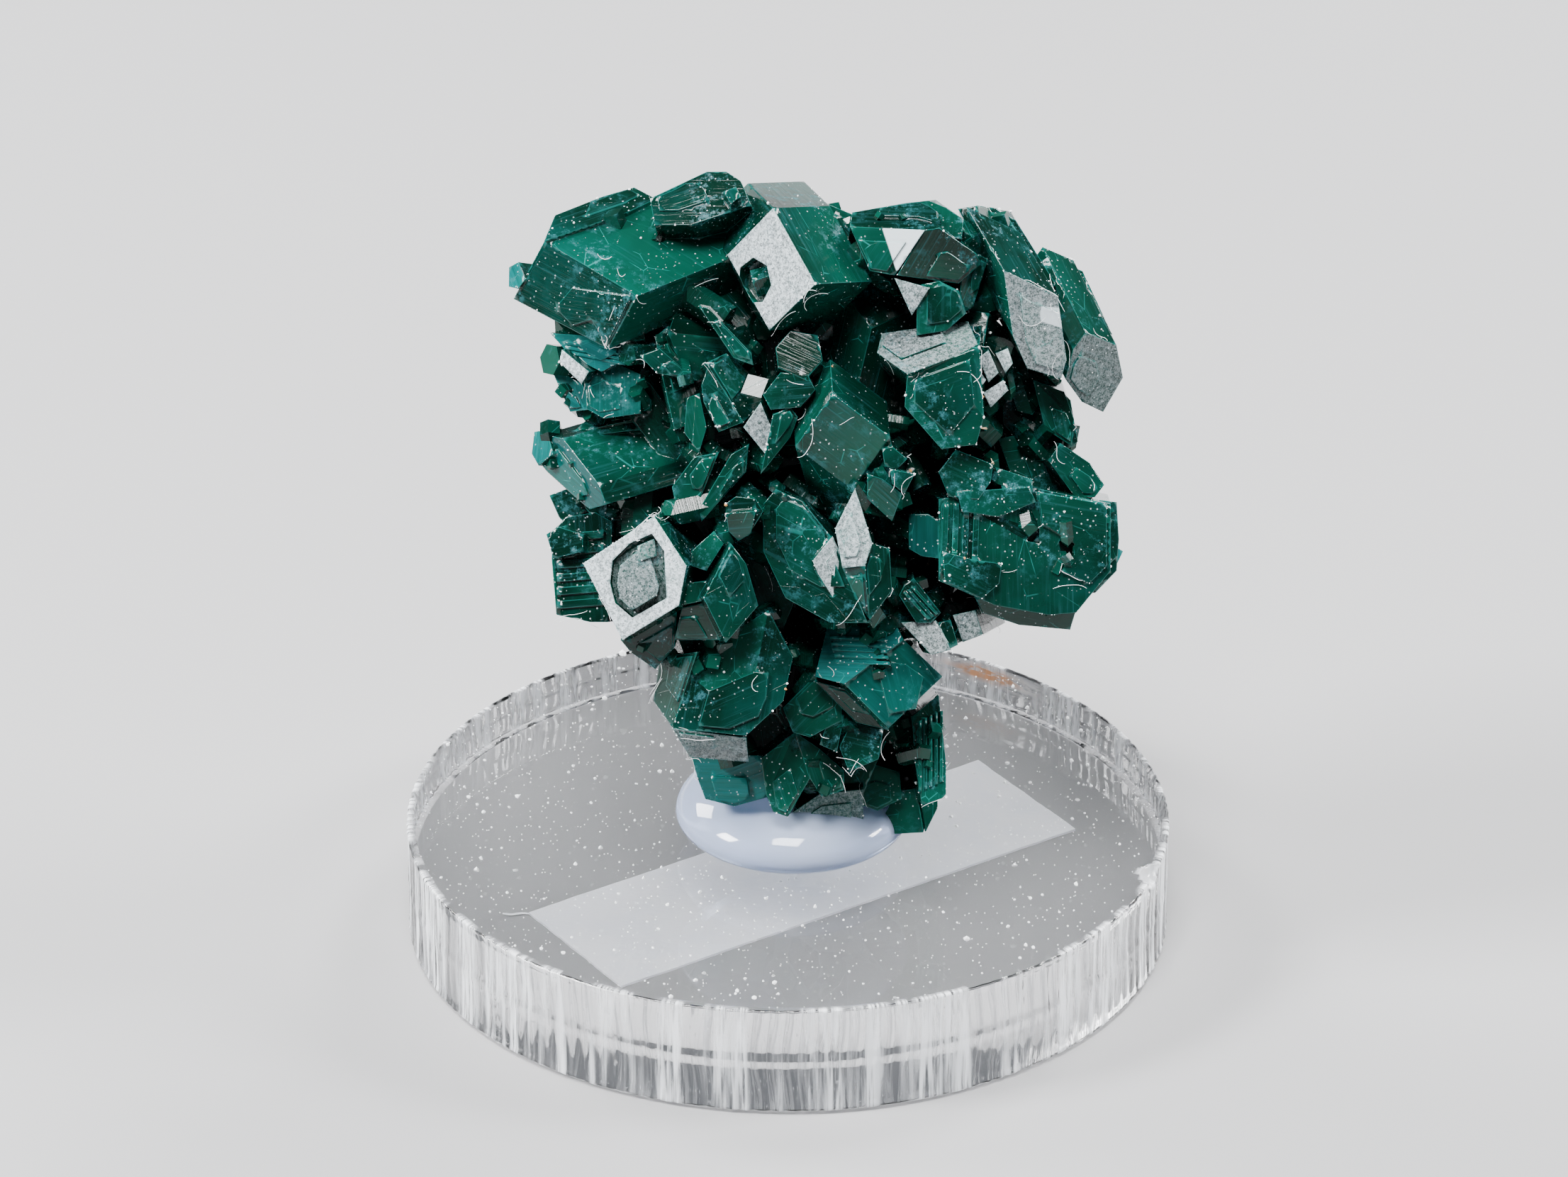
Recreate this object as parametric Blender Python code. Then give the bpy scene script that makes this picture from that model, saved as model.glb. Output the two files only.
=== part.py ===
"""Dioptase specimen: a cluster of intergrown crystals pressed into mounting gel on a round acrylic base.

Metres, +Z up, front towards -Y. The origin is the middle of the base's underside, where it rests.
The crystals that face the front are laid out in the frame of an eye that looks down on the cluster at
VIEW_TILT: across to the right, up at right angles to the line of sight, and nearer to the eye.
"""
import math
import random

import bmesh
import bpy
from mathutils import Matrix, Vector

MM = 0.001

# Acrylic base and paper label
BASE_DIAMETER = 0.032
BASE_THICKNESS = 0.00475
EDGE_RIPPLES = 72
EDGE_RIPPLE_DEPTH = 0.00006
CHIP_RADIUS = 0.0008
CHIP_OUT = 0.0003
CHIP_AZIMUTH = math.radians(-18)
LABEL_LENGTH = 0.023
LABEL_WIDTH = 0.00715
LABEL_THICKNESS = 0.0001
LABEL_CENTRE = (0.0007, -0.0012)
LABEL_TURN = math.radians(34)
LAYER_GAP = 0.00005

# Mounting gel
GEL_RADIUS = 0.0049
GEL_HALF_HEIGHT = 0.0020
GEL_CENTRE = (0.0003, -0.0020)
GEL_SINK = 0.0004
POCKET_GAP = 0.00015

# Dioptase
VIEW_TILT = math.radians(28)
HEART = Vector((0, 0, 0.016))
RHOMB_TILT = math.radians(50.97)

BASE_BOTTOM = LABEL_THICKNESS + LAYER_GAP
BASE_TOP = BASE_BOTTOM + BASE_THICKNESS

ACROSS = Vector((1, 0, 0))
UPWARD = Vector((0, math.sin(VIEW_TILT), math.cos(VIEW_TILT)))
NEARER = Vector((0, -math.cos(VIEW_TILT), math.sin(VIEW_TILT)))


def seen(across, up, near):
    """Point given in millimetres in the eye's frame around the heart of the cluster."""
    return HEART + (ACROSS * across + UPWARD * up + NEARER * near) * MM


def seen_direction(direction):
    """Unit vector given in the eye's frame."""
    across, up, near = direction
    return (ACROSS * across + UPWARD * up + NEARER * near).normalized()


def depth_on_face(point, middle, depth, looks):
    """How near the eye a face is at a point, for a face through middle that looks along looks."""
    across = point[0] - middle[0]
    up = point[1] - middle[1]
    return depth - (looks[0] * across + looks[1] * up) / looks[2]


class Crystal:
    """One crystal: the face seen from the front and the way its body runs back into the cluster."""

    def __init__(self, name, outline, depth, looks, run, length, grow=1.0, more=()):
        self.name = name
        self.outline = outline
        self.depth = depth
        self.looks = looks
        self.run = run
        self.length = length
        self.grow = grow
        self.more = more

    def middle(self):
        count = len(self.outline)
        return (sum(p[0] for p in self.outline) / count, sum(p[1] for p in self.outline) / count)

    def corner(self, point, rise=0.0):
        """A point of this crystal's front face, raised above it by rise millimetres."""
        near = depth_on_face(point, self.middle(), self.depth, self.looks)
        return seen(point[0], point[1], near) + seen_direction(self.looks) * rise * MM

    def points(self):
        front = [self.corner(p) for p in self.outline] + [seen(*p) for p in self.more]
        centre = sum(front, Vector()) / len(front)
        step = seen_direction(self.run) * self.length * MM
        return front + [centre + (p - centre) * self.grow + step for p in front]


# The crystals seen from the front: outlines set by hand, in millimetres, one row for each crystal
FRONT_CRYSTALS = [
    Crystal("shoulder_left", [(-11.2, 11.5), (-9.9, 13.8), (-6.1, 11.5), (-7.3, 9.4)],
            depth=5.4, looks=(-0.55, -0.15, 0.83), run=(0.85, 0.36, -0.38), length=7.5),
    Crystal("shoulder_ridge", [(-9.9, 13.8), (-9.5, 14.9), (-7.6, 15.7), (-6.3, 16.1), (-5.4, 15.6),
              (-6.6, 15.0)],
            depth=3.7, looks=(-0.05, 0.75, 0.6), run=(0.45, -0.35, -0.8), length=6, grow=1.1),
    Crystal("shoulder_nub", [(-11.4, 12.8), (-11.0, 13.0), (-10.7, 12.3), (-11.0, 11.9), (-11.4, 12.0)],
            depth=3.8, looks=(-0.7, 0.2, 0.6), run=(0.6, -0.1, -0.7), length=2.5, grow=1.2),
    Crystal("crest_left", [(-5.6, 15.5), (-4.2, 16.1), (-3.3, 16.6), (-2.5, 16.6), (-1.9, 16.2),
              (-1.5, 15.2), (-3.9, 14.4), (-5.4, 14.4)],
            depth=5.8, looks=(-0.1, 0.45, 0.88), run=(0.1, -0.25, -0.95), length=7, grow=1.1),
    Crystal("crest_pale", [(-2.6, 15.7), (-2.1, 15.9), (-1.9, 15.5), (-2.3, 15.2)],
            depth=7.3, looks=(-0.2, 0.4, 0.9), run=(0, -0.2, -1), length=2, grow=1.2),
    Crystal("under_teal", [(-9.7, 10.1), (-8.5, 10.0), (-7.4, 9.4), (-6.3, 9.5), (-6.4, 9.1),
              (-7.6, 8.5), (-8.9, 9.2)],
            depth=4.4, looks=(-0.3, 0.1, 0.95), run=(0.3, 0.1, -0.95), length=6, grow=1.1),
    Crystal("under_white", [(-9.2, 9.4), (-8.1, 8.5), (-8.4, 8.0), (-9.3, 8.9)],
            depth=4.7, looks=(-0.35, -0.1, 0.93), run=(0.4, 0.1, -0.9), length=4, grow=1.2),
    Crystal("under_dark", [(-6.0, 9.1), (-5.2, 9.4), (-3.7, 8.1), (-5.3, 8.4)],
            depth=6.2, looks=(0.1, 0.1, 0.95), run=(0.1, 0.1, -1), length=5, grow=1.2),
    Crystal("left_teal", [(-9.8, 8.9), (-9.2, 7.9), (-8.9, 6.9), (-7.9, 7.0), (-8.4, 8.0)],
            depth=3.4, looks=(-0.5, 0.05, 0.87), run=(0.5, 0, -0.87), length=5, grow=1.1),
    Crystal("left_mid", [(-8.3, 8.4), (-7.1, 8.9), (-6.0, 8.4), (-6.0, 6.8), (-7.5, 6.6), (-8.2, 7.0)],
            depth=4.4, looks=(-0.2, 0.2, 0.95), run=(0.2, 0, -1), length=5, grow=1.1),
    Crystal("left_long", [(-5.4, 9.9), (-4.8, 10.4), (-3.7, 8.0), (-3.4, 6.6), (-4.6, 6.1), (-5.1, 8.3)],
            depth=5.2, looks=(0.3, 0.25, 0.9), run=(-0.1, 0.1, -1), length=6, grow=1.1),
    Crystal("arm_left", [(-10.4, 5.1), (-10.0, 6.0), (-9.2, 5.8), (-7.7, 3.9), (-7.4, 3.1),
              (-8.1, 2.9), (-9.9, 4.5)],
            depth=3.2, looks=(-0.78, -0.25, 0.57), run=(0.9, 0.27, -0.3), length=6.5),
    Crystal("arm_nub", [(-10.4, 6.1), (-9.9, 6.2), (-9.6, 5.2), (-10.2, 4.7), (-10.5, 5.2)],
            depth=2.6, looks=(-0.6, 0.3, 0.7), run=(0.7, 0, -0.6), length=3, grow=1.2),
    Crystal("arm_back", [(-9.1, 5.8), (-7.8, 7.0), (-6.0, 6.9), (-4.3, 6.4), (-6.2, 6.4)],
            depth=3.0, looks=(-0.2, 0.6, 0.75), run=(0.3, -0.2, -0.9), length=6, grow=1.1),
    Crystal("square_left", [(-5.4, 2.6), (-4.1, 0.6), (-4.4, -1.0), (-6.7, -2.4), (-8.3, 0.7)],
            depth=6.8, looks=(-0.3, -0.1, 0.95), run=(0.22, 0.05, -0.95), length=6, grow=1.22),
    Crystal("left_block", [(-9.6, 2.1), (-9.1, 2.6), (-7.9, 2.8), (-7.2, 2.4), (-7.4, -1.7),
              (-8.1, -1.7), (-9.5, -1.4), (-9.7, 0.9)],
            depth=2.2, looks=(-0.25, 0.05, 0.96), run=(0.35, 0.05, -0.93), length=7, grow=1.05),
    Crystal("left_block_slab", [(-9.9, 1.9), (-9.4, 2.2), (-8.4, 1.9), (-8.4, 1.2), (-9.6, 0.9)],
            depth=2.7, looks=(-0.3, 0.1, 0.95), run=(0.3, 0, -0.95), length=4, grow=1.1),
    Crystal("under_square", [(-6.8, -2.4), (-4.5, -1.1), (-4.6, -2.7), (-5.4, -3.6), (-6.4, -2.9)],
            depth=5.2, looks=(0.1, -0.45, 0.88), run=(0.1, 0.4, -0.9), length=6, grow=1.2),
    Crystal("leaf_pale", [(-3.2, 8.8), (-1.8, 6.4), (-2.8, 6.0), (-3.4, 7.2), (-3.5, 7.9)],
            depth=6.8, looks=(-0.25, 0.1, 0.96), run=(0.1, 0.1, -1), length=5),
    Crystal("leaf_dark", [(-3.3, 8.8), (-2.5, 9.2), (-0.9, 7.9), (-1.1, 7.2), (-1.8, 6.4)],
            depth=6.5, looks=(0.45, 0.2, 0.87), run=(-0.1, -0.1, -1), length=5, grow=1.1),
    Crystal("kite_bright", [(-1.1, 7.2), (-1.8, 6.2), (-0.9, 5.1), (-0.6, 6.0)],
            depth=7.0, looks=(0.15, -0.1, 0.98), run=(0, 0.1, -1), length=5, grow=1.15),
    Crystal("sliver", [(-4.1, 7.4), (-3.6, 7.6), (-3.3, 6.2), (-3.6, 5.2), (-4.2, 6.0)],
            depth=6.0, looks=(-0.2, 0.1, 0.97), run=(0.1, 0, -1), length=5, grow=1.2),
    Crystal("column_low", [(-2.3, 5.1), (-1.6, 5.5), (-1.7, 4.4), (-3.0, 3.0), (-3.5, 2.4), (-3.6, 2.9)],
            depth=6.4, looks=(-0.1, -0.2, 0.97), run=(0.1, 0.1, -1), length=6, grow=1.2),
    Crystal("column_mid", [(-3.8, 5.0), (-2.8, 5.2), (-3.8, 2.7), (-4.5, 2.8), (-4.7, 3.8)],
            depth=6.0, looks=(-0.2, -0.1, 0.97), run=(0.1, 0.1, -1), length=6, grow=1.2),
    Crystal("wedge", [(-0.6, 6.7), (0.1, 7.0), (0.4, 6.6), (0.1, 5.8), (-1.1, 4.3)],
            depth=7.3, looks=(0.2, -0.1, 0.97), run=(0, 0.1, -1), length=5, grow=1.2),
    Crystal("stack_lower", [(-1.0, 7.5), (-0.3, 8.4), (0.8, 8.3), (1.1, 7.7), (0.5, 7.0), (-0.7, 6.9)],
            depth=7.4, looks=(-0.1, 0.1, 0.98), run=(0, 0, -1), length=4, grow=1.15),
    Crystal("stack_upper", [(-0.5, 9.4), (0.1, 10.1), (1.2, 9.9), (1.4, 8.9), (0.7, 8.1), (-0.4, 8.6)],
            depth=7.2, looks=(0, 0.2, 0.97), run=(0, -0.1, -1), length=5, grow=1.1),
    Crystal("long_dark", [(-3.6, 11.1), (-3.2, 11.0), (-1.5, 9.2), (-1.4, 8.7), (-2.2, 9.0)],
            depth=6.8, looks=(-0.3, -0.1, 0.95), run=(0.1, 0.1, -1), length=5, grow=1.2),
    Crystal("small_cube", [(-2.5, 3.1), (-2.1, 3.4), (-1.3, 3.3), (-1.0, 2.8), (-1.6, 1.8), (-2.4, 2.0)],
            depth=7.4, looks=(0, -0.1, 0.99), run=(0, 0, -1), length=5, grow=1.1),
    Crystal("small_cube_front", [(-2.5, 2.7), (-1.8, 2.3), (-1.3, 2.8), (-1.5, 1.9), (-2.0, 1.6),
              (-2.4, 2.0)],
            depth=7.7, looks=(0, -0.45, 0.9), run=(0, 0.2, -1), length=3, grow=1.05),
    Crystal("crown_right_left", [(2.5, 14.3), (3.7, 14.2), (5.5, 14.1), (4.3, 12.3), (3.3, 12.5)],
            depth=7.6, looks=(-0.35, -0.05, 0.93), run=(0.05, 0.1, -1), length=8, grow=1.1),
    Crystal("crown_right_face", [(5.5, 14.1), (6.1, 14.2), (7.6, 13.2), (7.8, 12.8), (6.9, 12.0),
              (4.4, 12.3)],
            depth=7.4, looks=(0.3, -0.3, 0.9), run=(0, 0.2, -1), length=7, grow=1.1),
    Crystal("crown_right_top", [(2.5, 14.3), (2.6, 14.9), (4.8, 15.3), (5.7, 15.4), (6.4, 15.1),
              (7.1, 14.6), (7.0, 13.8), (5.6, 14.2)],
            depth=6.6, looks=(0, 0.65, 0.75), run=(0, -0.3, -0.9), length=8, grow=1.1),
    Crystal("crown_right_side", [(7.7, 13.2), (8.1, 13.0), (7.5, 11.1), (6.9, 10.7), (7.0, 12.1)],
            depth=6.4, looks=(0.5, -0.2, 0.8), run=(-0.2, 0.1, -1), length=6, grow=1.1),
    Crystal("step_bright", [(4.3, 12.2), (5.7, 11.8), (5.0, 10.7)],
            depth=7.4, looks=(-0.1, -0.2, 0.97), run=(0, 0.1, -1), length=5, grow=1.4),
    Crystal("step_block", [(5.2, 11.9), (6.1, 12.1), (6.9, 11.7), (7.2, 10.8), (6.4, 10.1), (5.2, 9.9)],
            depth=7.1, looks=(0.1, -0.1, 0.98), run=(0, 0.1, -1), length=5, grow=1.1),
    Crystal("roof_right", [(8.7, 12.5), (9.2, 12.1), (10.9, 11.5), (11.3, 9.0), (11.1, 8.2),
              (9.7, 8.6), (9.1, 9.9)],
            depth=6.4, looks=(0.25, -0.35, 0.9), run=(-0.42, 0.76, -0.5), length=3.5),
    Crystal("roof_left_side", [(6.9, 15.1), (7.6, 15.2), (9.0, 12.6), (8.6, 12.0)],
            depth=6.0, looks=(-0.5, 0.1, 0.85), run=(0.3, 0, -0.9), length=5),
    Crystal("wing_right", [(12.1, 10.1), (13.4, 9.6), (13.7, 8.3), (12.9, 6.9), (12.0, 7.3),
              (11.3, 8.2), (11.6, 9.4)],
            depth=4.0, looks=(0.45, -0.4, 0.8), run=(-0.38, 0.8, -0.45), length=4.4),
    Crystal("wing_inner", [(10.1, 12.8), (10.6, 13.2), (12.1, 10.0), (11.4, 9.2), (11.0, 11.5)],
            depth=4.0, looks=(0.2, 0.1, 0.95), run=(-0.1, -0.1, -1), length=5),
    Crystal("mirror_1", [(7.3, 8.2), (7.6, 8.7), (8.0, 8.1), (7.7, 7.7)],
            depth=7.0, looks=(-0.1, -0.1, 0.98), run=(0, 0.1, -1), length=4, grow=1.25),
    Crystal("mirror_2", [(7.7, 9.0), (8.1, 9.3), (8.5, 8.4), (8.1, 8.0)],
            depth=7.1, looks=(0.1, -0.1, 0.98), run=(0, 0.1, -1), length=4, grow=1.2),
    Crystal("mirror_3", [(8.4, 9.2), (8.9, 9.4), (9.1, 8.8), (8.8, 8.4)],
            depth=6.4, looks=(0.1, 0, 0.98), run=(0, 0.1, -1), length=4, grow=1.2),
    Crystal("mirror_4", [(7.9, 7.6), (8.7, 8.1), (8.9, 7.7), (8.2, 7.0)],
            depth=6.7, looks=(0, -0.3, 0.95), run=(0, 0.1, -1), length=4, grow=1.2),
    Crystal("back_green", [(10.0, 8.2), (11.3, 7.7), (11.7, 6.6), (11.6, 5.5), (10.5, 6.2)],
            depth=3.4, looks=(0.2, 0, 0.97), run=(0, 0.1, -1), length=6, grow=1.2),
    Crystal("barrel", [(6.1, 3.3), (9.8, 3.8), (11.6, 3.4), (13.1, 3.1), (13.1, 0.4), (12.3, -0.3),
              (11.7, -1.3), (10.6, -1.4), (8.4, -1.0), (6.1, -0.0)],
            depth=5.8, looks=(0.15, -0.05, 0.98), run=(0, 0.05, -1), length=7, grow=1.06),
    Crystal("barrel_tip", [(12.5, 3.3), (13.4, 3.2), (13.5, 1.7), (13.4, 0.4), (12.5, -0.5)],
            depth=4.4, looks=(0.6, 0, 0.8), run=(-0.3, 0, -0.95), length=5),
    Crystal("shelf_1", [(6.1, 4.4), (6.8, 5.3), (8.3, 4.7), (8.2, 4.0), (7.7, 3.3), (6.5, 3.4)],
            depth=6.6, looks=(0, 0.1, 0.99), run=(0, 0, -1), length=4, grow=1.1),
    Crystal("shelf_2", [(8.4, 4.6), (9.9, 4.1), (9.9, 3.6), (8.8, 3.3)],
            depth=6.2, looks=(0.1, 0.2, 0.97), run=(0, 0, -1), length=4, grow=1.15),
    Crystal("right_block_high", [(10.6, 4.9), (11.1, 5.6), (12.3, 4.8), (12.9, 3.9), (12.5, 3.4),
              (11.7, 3.4), (11.1, 4.2)],
            depth=4.4, looks=(0.3, 0.2, 0.93), run=(-0.1, 0, -1), length=6, grow=1.1),
    Crystal("barrel_chip", [(13.2, 1.5), (13.7, 1.2), (13.5, 0.8), (13.1, 0.1)],
            depth=3.6, looks=(0.6, 0.1, 0.8), run=(-0.6, 0, -0.8), length=3, grow=1.1),
    Crystal("blue_block", [(4.9, 2.7), (5.7, 2.7), (6.1, 2.4), (6.1, 0.9), (5.4, 1.0), (4.9, 1.3)],
            depth=6.1, looks=(-0.1, 0.1, 0.98), run=(0, 0, -1), length=5, grow=1.1),
    Crystal("barrel_low", [(7.3, -0.1), (8.5, -0.0), (10.6, -1.0), (11.7, -1.3), (11.5, -2.0),
              (9.4, -1.8), (7.9, -1.3)],
            depth=5.0, looks=(0.1, -0.5, 0.86), run=(0, 0.3, -1), length=6),
    Crystal("block_right_front", [(4.8, 8.3), (7.7, 9.4), (7.9, 6.6), (7.6, 5.5), (6.2, 5.3), (4.7, 7.0)],
            depth=7.6, looks=(0.1, -0.15, 0.98), run=(0.05, 0.35, -0.93), length=6, grow=1.04),
    Crystal("block_right_top", [(3.7, 9.6), (3.8, 10.0), (7.3, 10.5), (7.7, 9.4), (4.8, 8.3), (3.6, 9.2)],
            depth=7.1, looks=(-0.1, 0.75, 0.65), run=(0.1, -0.2, -0.97), length=6),
    Crystal("chip_1", [(3.8, 5.3), (4.2, 5.4), (4.8, 4.9), (4.4, 4.5), (3.9, 4.6)],
            depth=7.8, looks=(-0.1, -0.1, 0.98), run=(0, 0.1, -1), length=4, grow=1.2),
    Crystal("chip_2", [(4.1, 4.5), (5.1, 4.3), (4.7, 3.5), (4.2, 3.9)],
            depth=7.9, looks=(0.1, -0.2, 0.97), run=(0, 0.1, -1), length=4, grow=1.2),
    Crystal("chip_3", [(3.2, 4.3), (3.8, 4.1), (4.6, 3.5), (4.2, 2.4), (3.2, 3.3)],
            depth=7.7, looks=(0, -0.3, 0.95), run=(0, 0.1, -1), length=4, grow=1.15),
    Crystal("pillar_left", [(-1.0, 3.1), (-0.5, 3.7), (0.6, 3.2), (1.8, 1.7), (3.2, -1.7),
              (1.7, -1.7), (-0.1, -0.7), (-1.0, 1.2)],
            depth=6.8, looks=(-0.3, -0.05, 0.95), run=(0.1, 0.05, -1), length=6, grow=1.1),
    Crystal("pillar_bright", [(1.8, 1.8), (1.0, 0.8), (1.2, 0.3), (2.4, -1.6), (3.1, -1.4),
              (2.8, -0.4), (2.0, 1.0)],
            depth=7.1, looks=(0.3, -0.1, 0.95), run=(-0.1, 0.05, -1), length=5, grow=1.15),
    Crystal("tower_face", [(2.7, 3.7), (2.9, 3.1), (3.4, 1.5), (3.1, 0.6), (2.2, 0.5), (2.2, 1.4),
              (1.9, 2.1)],
            depth=7.8, looks=(-0.1, -0.05, 0.99), run=(0.05, 0.05, -1), length=6, grow=1.1),
    Crystal("tower_low", [(2.2, 0.5), (3.1, 0.6), (3.3, -1.6), (2.8, -0.8)],
            depth=7.4, looks=(-0.3, -0.3, 0.9), run=(0.1, 0.2, -1), length=5, grow=1.1),
    Crystal("tower_right", [(3.1, 0.6), (3.4, 1.5), (4.1, 1.3), (4.2, -0.4), (3.3, -1.6)],
            depth=7.2, looks=(0.4, -0.1, 0.9), run=(-0.1, 0.05, -1), length=5, grow=1.1),
    Crystal("striped", [(5.1, 0.1), (6.2, -1.3), (5.8, -1.7), (5.2, -1.7), (4.5, -0.6), (4.7, -0.2)],
            depth=6.0, looks=(0.1, 0.1, 0.98), run=(0, 0.1, -1), length=5, grow=1.1),
    Crystal("cube_low_1", [(4.6, -1.7), (6.0, -1.6), (6.6, -2.8), (5.8, -3.0)],
            depth=6.0, looks=(-0.1, 0.2, 0.97), run=(0, 0.1, -1), length=5, grow=1.15),
    Crystal("cube_low_2", [(6.7, -1.4), (7.6, -1.2), (7.9, -2.2), (7.1, -2.5)],
            depth=5.4, looks=(0, -0.1, 0.98), run=(0.2, 0.1, -0.97), length=5, grow=1.1),
    Crystal("cube_low_3", [(6.1, -1.7), (6.6, -1.6), (6.9, -2.6), (6.5, -2.8)],
            depth=5.7, looks=(0.2, 0.1, 0.97), run=(0, 0.1, -1), length=5, grow=1.15),
    Crystal("elbow_diamond", [(-2.3, 1.5), (-3.4, -0.7), (-2.5, -2.5), (-1.2, -1.0), (-1.7, 0.7)],
            depth=7.1, looks=(0.3, 0, 0.95), run=(-0.2, 0.1, -0.97), length=6, grow=1.15),
    Crystal("elbow_left", [(-4.3, -1.1), (-3.4, -0.9), (-2.5, -2.4), (-4.6, -2.4)],
            depth=6.1, looks=(-0.25, -0.3, 0.92), run=(0.1, 0.2, -1), length=5, grow=1.1),
    Crystal("elbow_plate_1", [(-3.9, 1.2), (-3.0, 2.0), (-2.6, 1.5), (-3.3, 0.4), (-3.9, 0.6)],
            depth=6.8, looks=(-0.2, 0.1, 0.97), run=(0.1, 0, -1), length=5, grow=1.15),
    Crystal("elbow_plate_2", [(-4.1, -0.1), (-3.3, -0.0), (-3.4, -0.8), (-4.3, -1.0)],
            depth=6.6, looks=(-0.2, 0, 0.98), run=(0.1, 0, -1), length=4, grow=1.15),
    Crystal("front_hex", [(-3.7, -3.0), (-2.7, -2.4), (-0.8, -1.2), (0.2, -3.1), (-0.2, -4.9),
              (-1.7, -6.3), (-4.7, -6.0)],
            depth=5.0, looks=(-0.12, 0.05, 0.99), run=(0.02, 0.02, -1), length=6),
    Crystal("foot_left", [(-4.0, -7.1), (-1.1, -7.2), (-0.8, -8.9), (-2.2, -9.3), (-3.4, -9.0), (-3.7, -8.2)],
            depth=1.0, looks=(-0.1, -0.25, 0.96), run=(0.05, 0.35, -0.93), length=5),
    Crystal("foot_centre_left", [(-1.1, -7.3), (0.3, -6.2), (0.9, -8.1), (-0.0, -9.7), (-0.6, -9.5),
              (-0.9, -8.8)],
            depth=2.0, looks=(-0.35, -0.15, 0.92), run=(0.1, 0.3, -0.95), length=5, grow=1.05),
    Crystal("foot_centre_right", [(0.3, -6.2), (1.3, -6.9), (2.3, -7.8), (2.3, -8.6), (1.4, -8.9),
              (0.9, -8.1)],
            depth=2.2, looks=(0.3, -0.1, 0.95), run=(-0.1, 0.3, -0.95), length=5, grow=1.05),
    Crystal("foot_under", [(-0.0, -9.7), (1.3, -8.8), (3.1, -8.6), (3.1, -9.9), (1.6, -10.4), (0.3, -10.4)],
            depth=0.4, looks=(0.05, -0.5, 0.86), run=(0, 0.5, -0.86), length=5, grow=1.1),
    Crystal("hollow_1", [(1.8, -5.3), (2.3, -5.5), (2.0, -7.0), (1.3, -6.7)],
            depth=3.4, looks=(-0.1, 0.1, 0.98), run=(0, 0.1, -1), length=5, grow=1.3),
    Crystal("hollow_2", [(2.1, -6.8), (2.6, -5.8), (3.9, -6.1), (3.7, -7.3), (2.5, -7.8)],
            depth=3.2, looks=(0.1, 0.1, 0.98), run=(0, 0.1, -1), length=5, grow=1.2),
    Crystal("hollow_3", [(-0.2, -5.2), (1.3, -3.7), (2.2, -4.2), (2.2, -5.7), (0.9, -6.4), (0.2, -6.2)],
            depth=3.4, looks=(0, 0, 1), run=(0, 0.1, -1), length=6, grow=1.2),
    Crystal("low_right_square", [(6.3, -3.9), (4.1, -6.0), (2.3, -4.2), (4.7, -2.4)],
            depth=4.7, looks=(0.15, -0.12, 0.98), run=(-0.35, 0.1, -0.93), length=7, grow=1.08),
    Crystal("low_right_under", [(1.1, -4.1), (2.3, -4.4), (4.1, -6.1), (2.8, -5.8)],
            depth=4.0, looks=(-0.2, -0.5, 0.84), run=(0.1, 0.3, -0.95), length=6),
    Crystal("low_right_stripe", [(1.6, -1.9), (4.4, -1.8), (4.7, -2.4), (2.3, -4.2), (1.1, -3.9)],
            depth=4.7, looks=(-0.25, 0.4, 0.88), run=(0.1, 0, -1), length=6),
    Crystal("column_right", [(5.1, -5.6), (6.2, -4.7), (6.5, -7.5), (6.5, -8.9), (5.5, -9.2), (5.2, -7.3)],
            depth=1.6, looks=(0.2, 0.05, 0.98), run=(-0.1, 0.1, -1), length=6, grow=1.03),
    Crystal("foot_right_left", [(4.5, -8.7), (5.3, -8.6), (5.6, -10.4), (4.2, -10.5), (3.9, -9.9)],
            depth=-0.4, looks=(-0.3, -0.1, 0.95), run=(0.1, 0.3, -0.95), length=5),
    Crystal("foot_right_side", [(5.4, -8.7), (6.2, -9.1), (6.2, -9.4), (5.9, -10.0), (5.7, -10.4)],
            depth=-0.5, looks=(0.4, -0.1, 0.9), run=(-0.2, 0.3, -0.93), length=5),
    Crystal("foot_mid", [(2.2, -8.0), (3.6, -7.6), (4.6, -7.9), (4.7, -9.0), (3.7, -9.5), (2.3, -9.0)],
            depth=0.2, looks=(0, 0, 1), run=(0, 0.2, -1), length=5, grow=1.1),
    Crystal("roof_back", [(7.7, 15.3), (8.5, 15.2), (9.3, 14.7), (10.9, 12.1), (10.1, 10.8), (8.8, 12.4)],
            depth=4.2, looks=(0.15, 0.3, 0.95), run=(-0.1, 0, -1), length=6),
    Crystal("wing_back", [(10.7, 13.3), (12.1, 12.7), (13.3, 10.1), (12.4, 9.1), (11.1, 11.4)],
            depth=2.2, looks=(0.2, 0.2, 0.95), run=(-0.3, 0, -1), length=5),
    Crystal("left_fill_high", [(-9.7, 9.6), (-8.6, 9.9), (-6.5, 9.4), (-6.5, 7.1), (-8.2, 6.6), (-9.1, 7.6)],
            depth=2.2, looks=(-0.35, 0.1, 0.93), run=(0.3, 0, -0.95), length=6, grow=1.05),
    Crystal("left_fill_low", [(-9.8, 3.5), (-7.9, 4.2), (-6.0, 3.8), (-6.5, 1.9), (-8.4, 1.6), (-9.4, 2.6)],
            depth=2.0, looks=(-0.2, -0.2, 0.95), run=(0.2, 0, -1), length=6),
    Crystal("right_fill", [(8.8, 8.6), (10.6, 8.4), (11.6, 7.4), (11.9, 5.7), (10.6, 4.7), (8.8, 6.4)],
            depth=2.4, looks=(0.25, 0, 0.97), run=(-0.2, 0, -1), length=6),
    Crystal("right_fill_low", [(8.6, 5.8), (10.1, 6.1), (11.3, 5.4), (11.7, 3.6), (9.5, 3.4)],
            depth=2.8, looks=(0.2, 0.1, 0.97), run=(-0.2, 0, -1), length=6),
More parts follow.
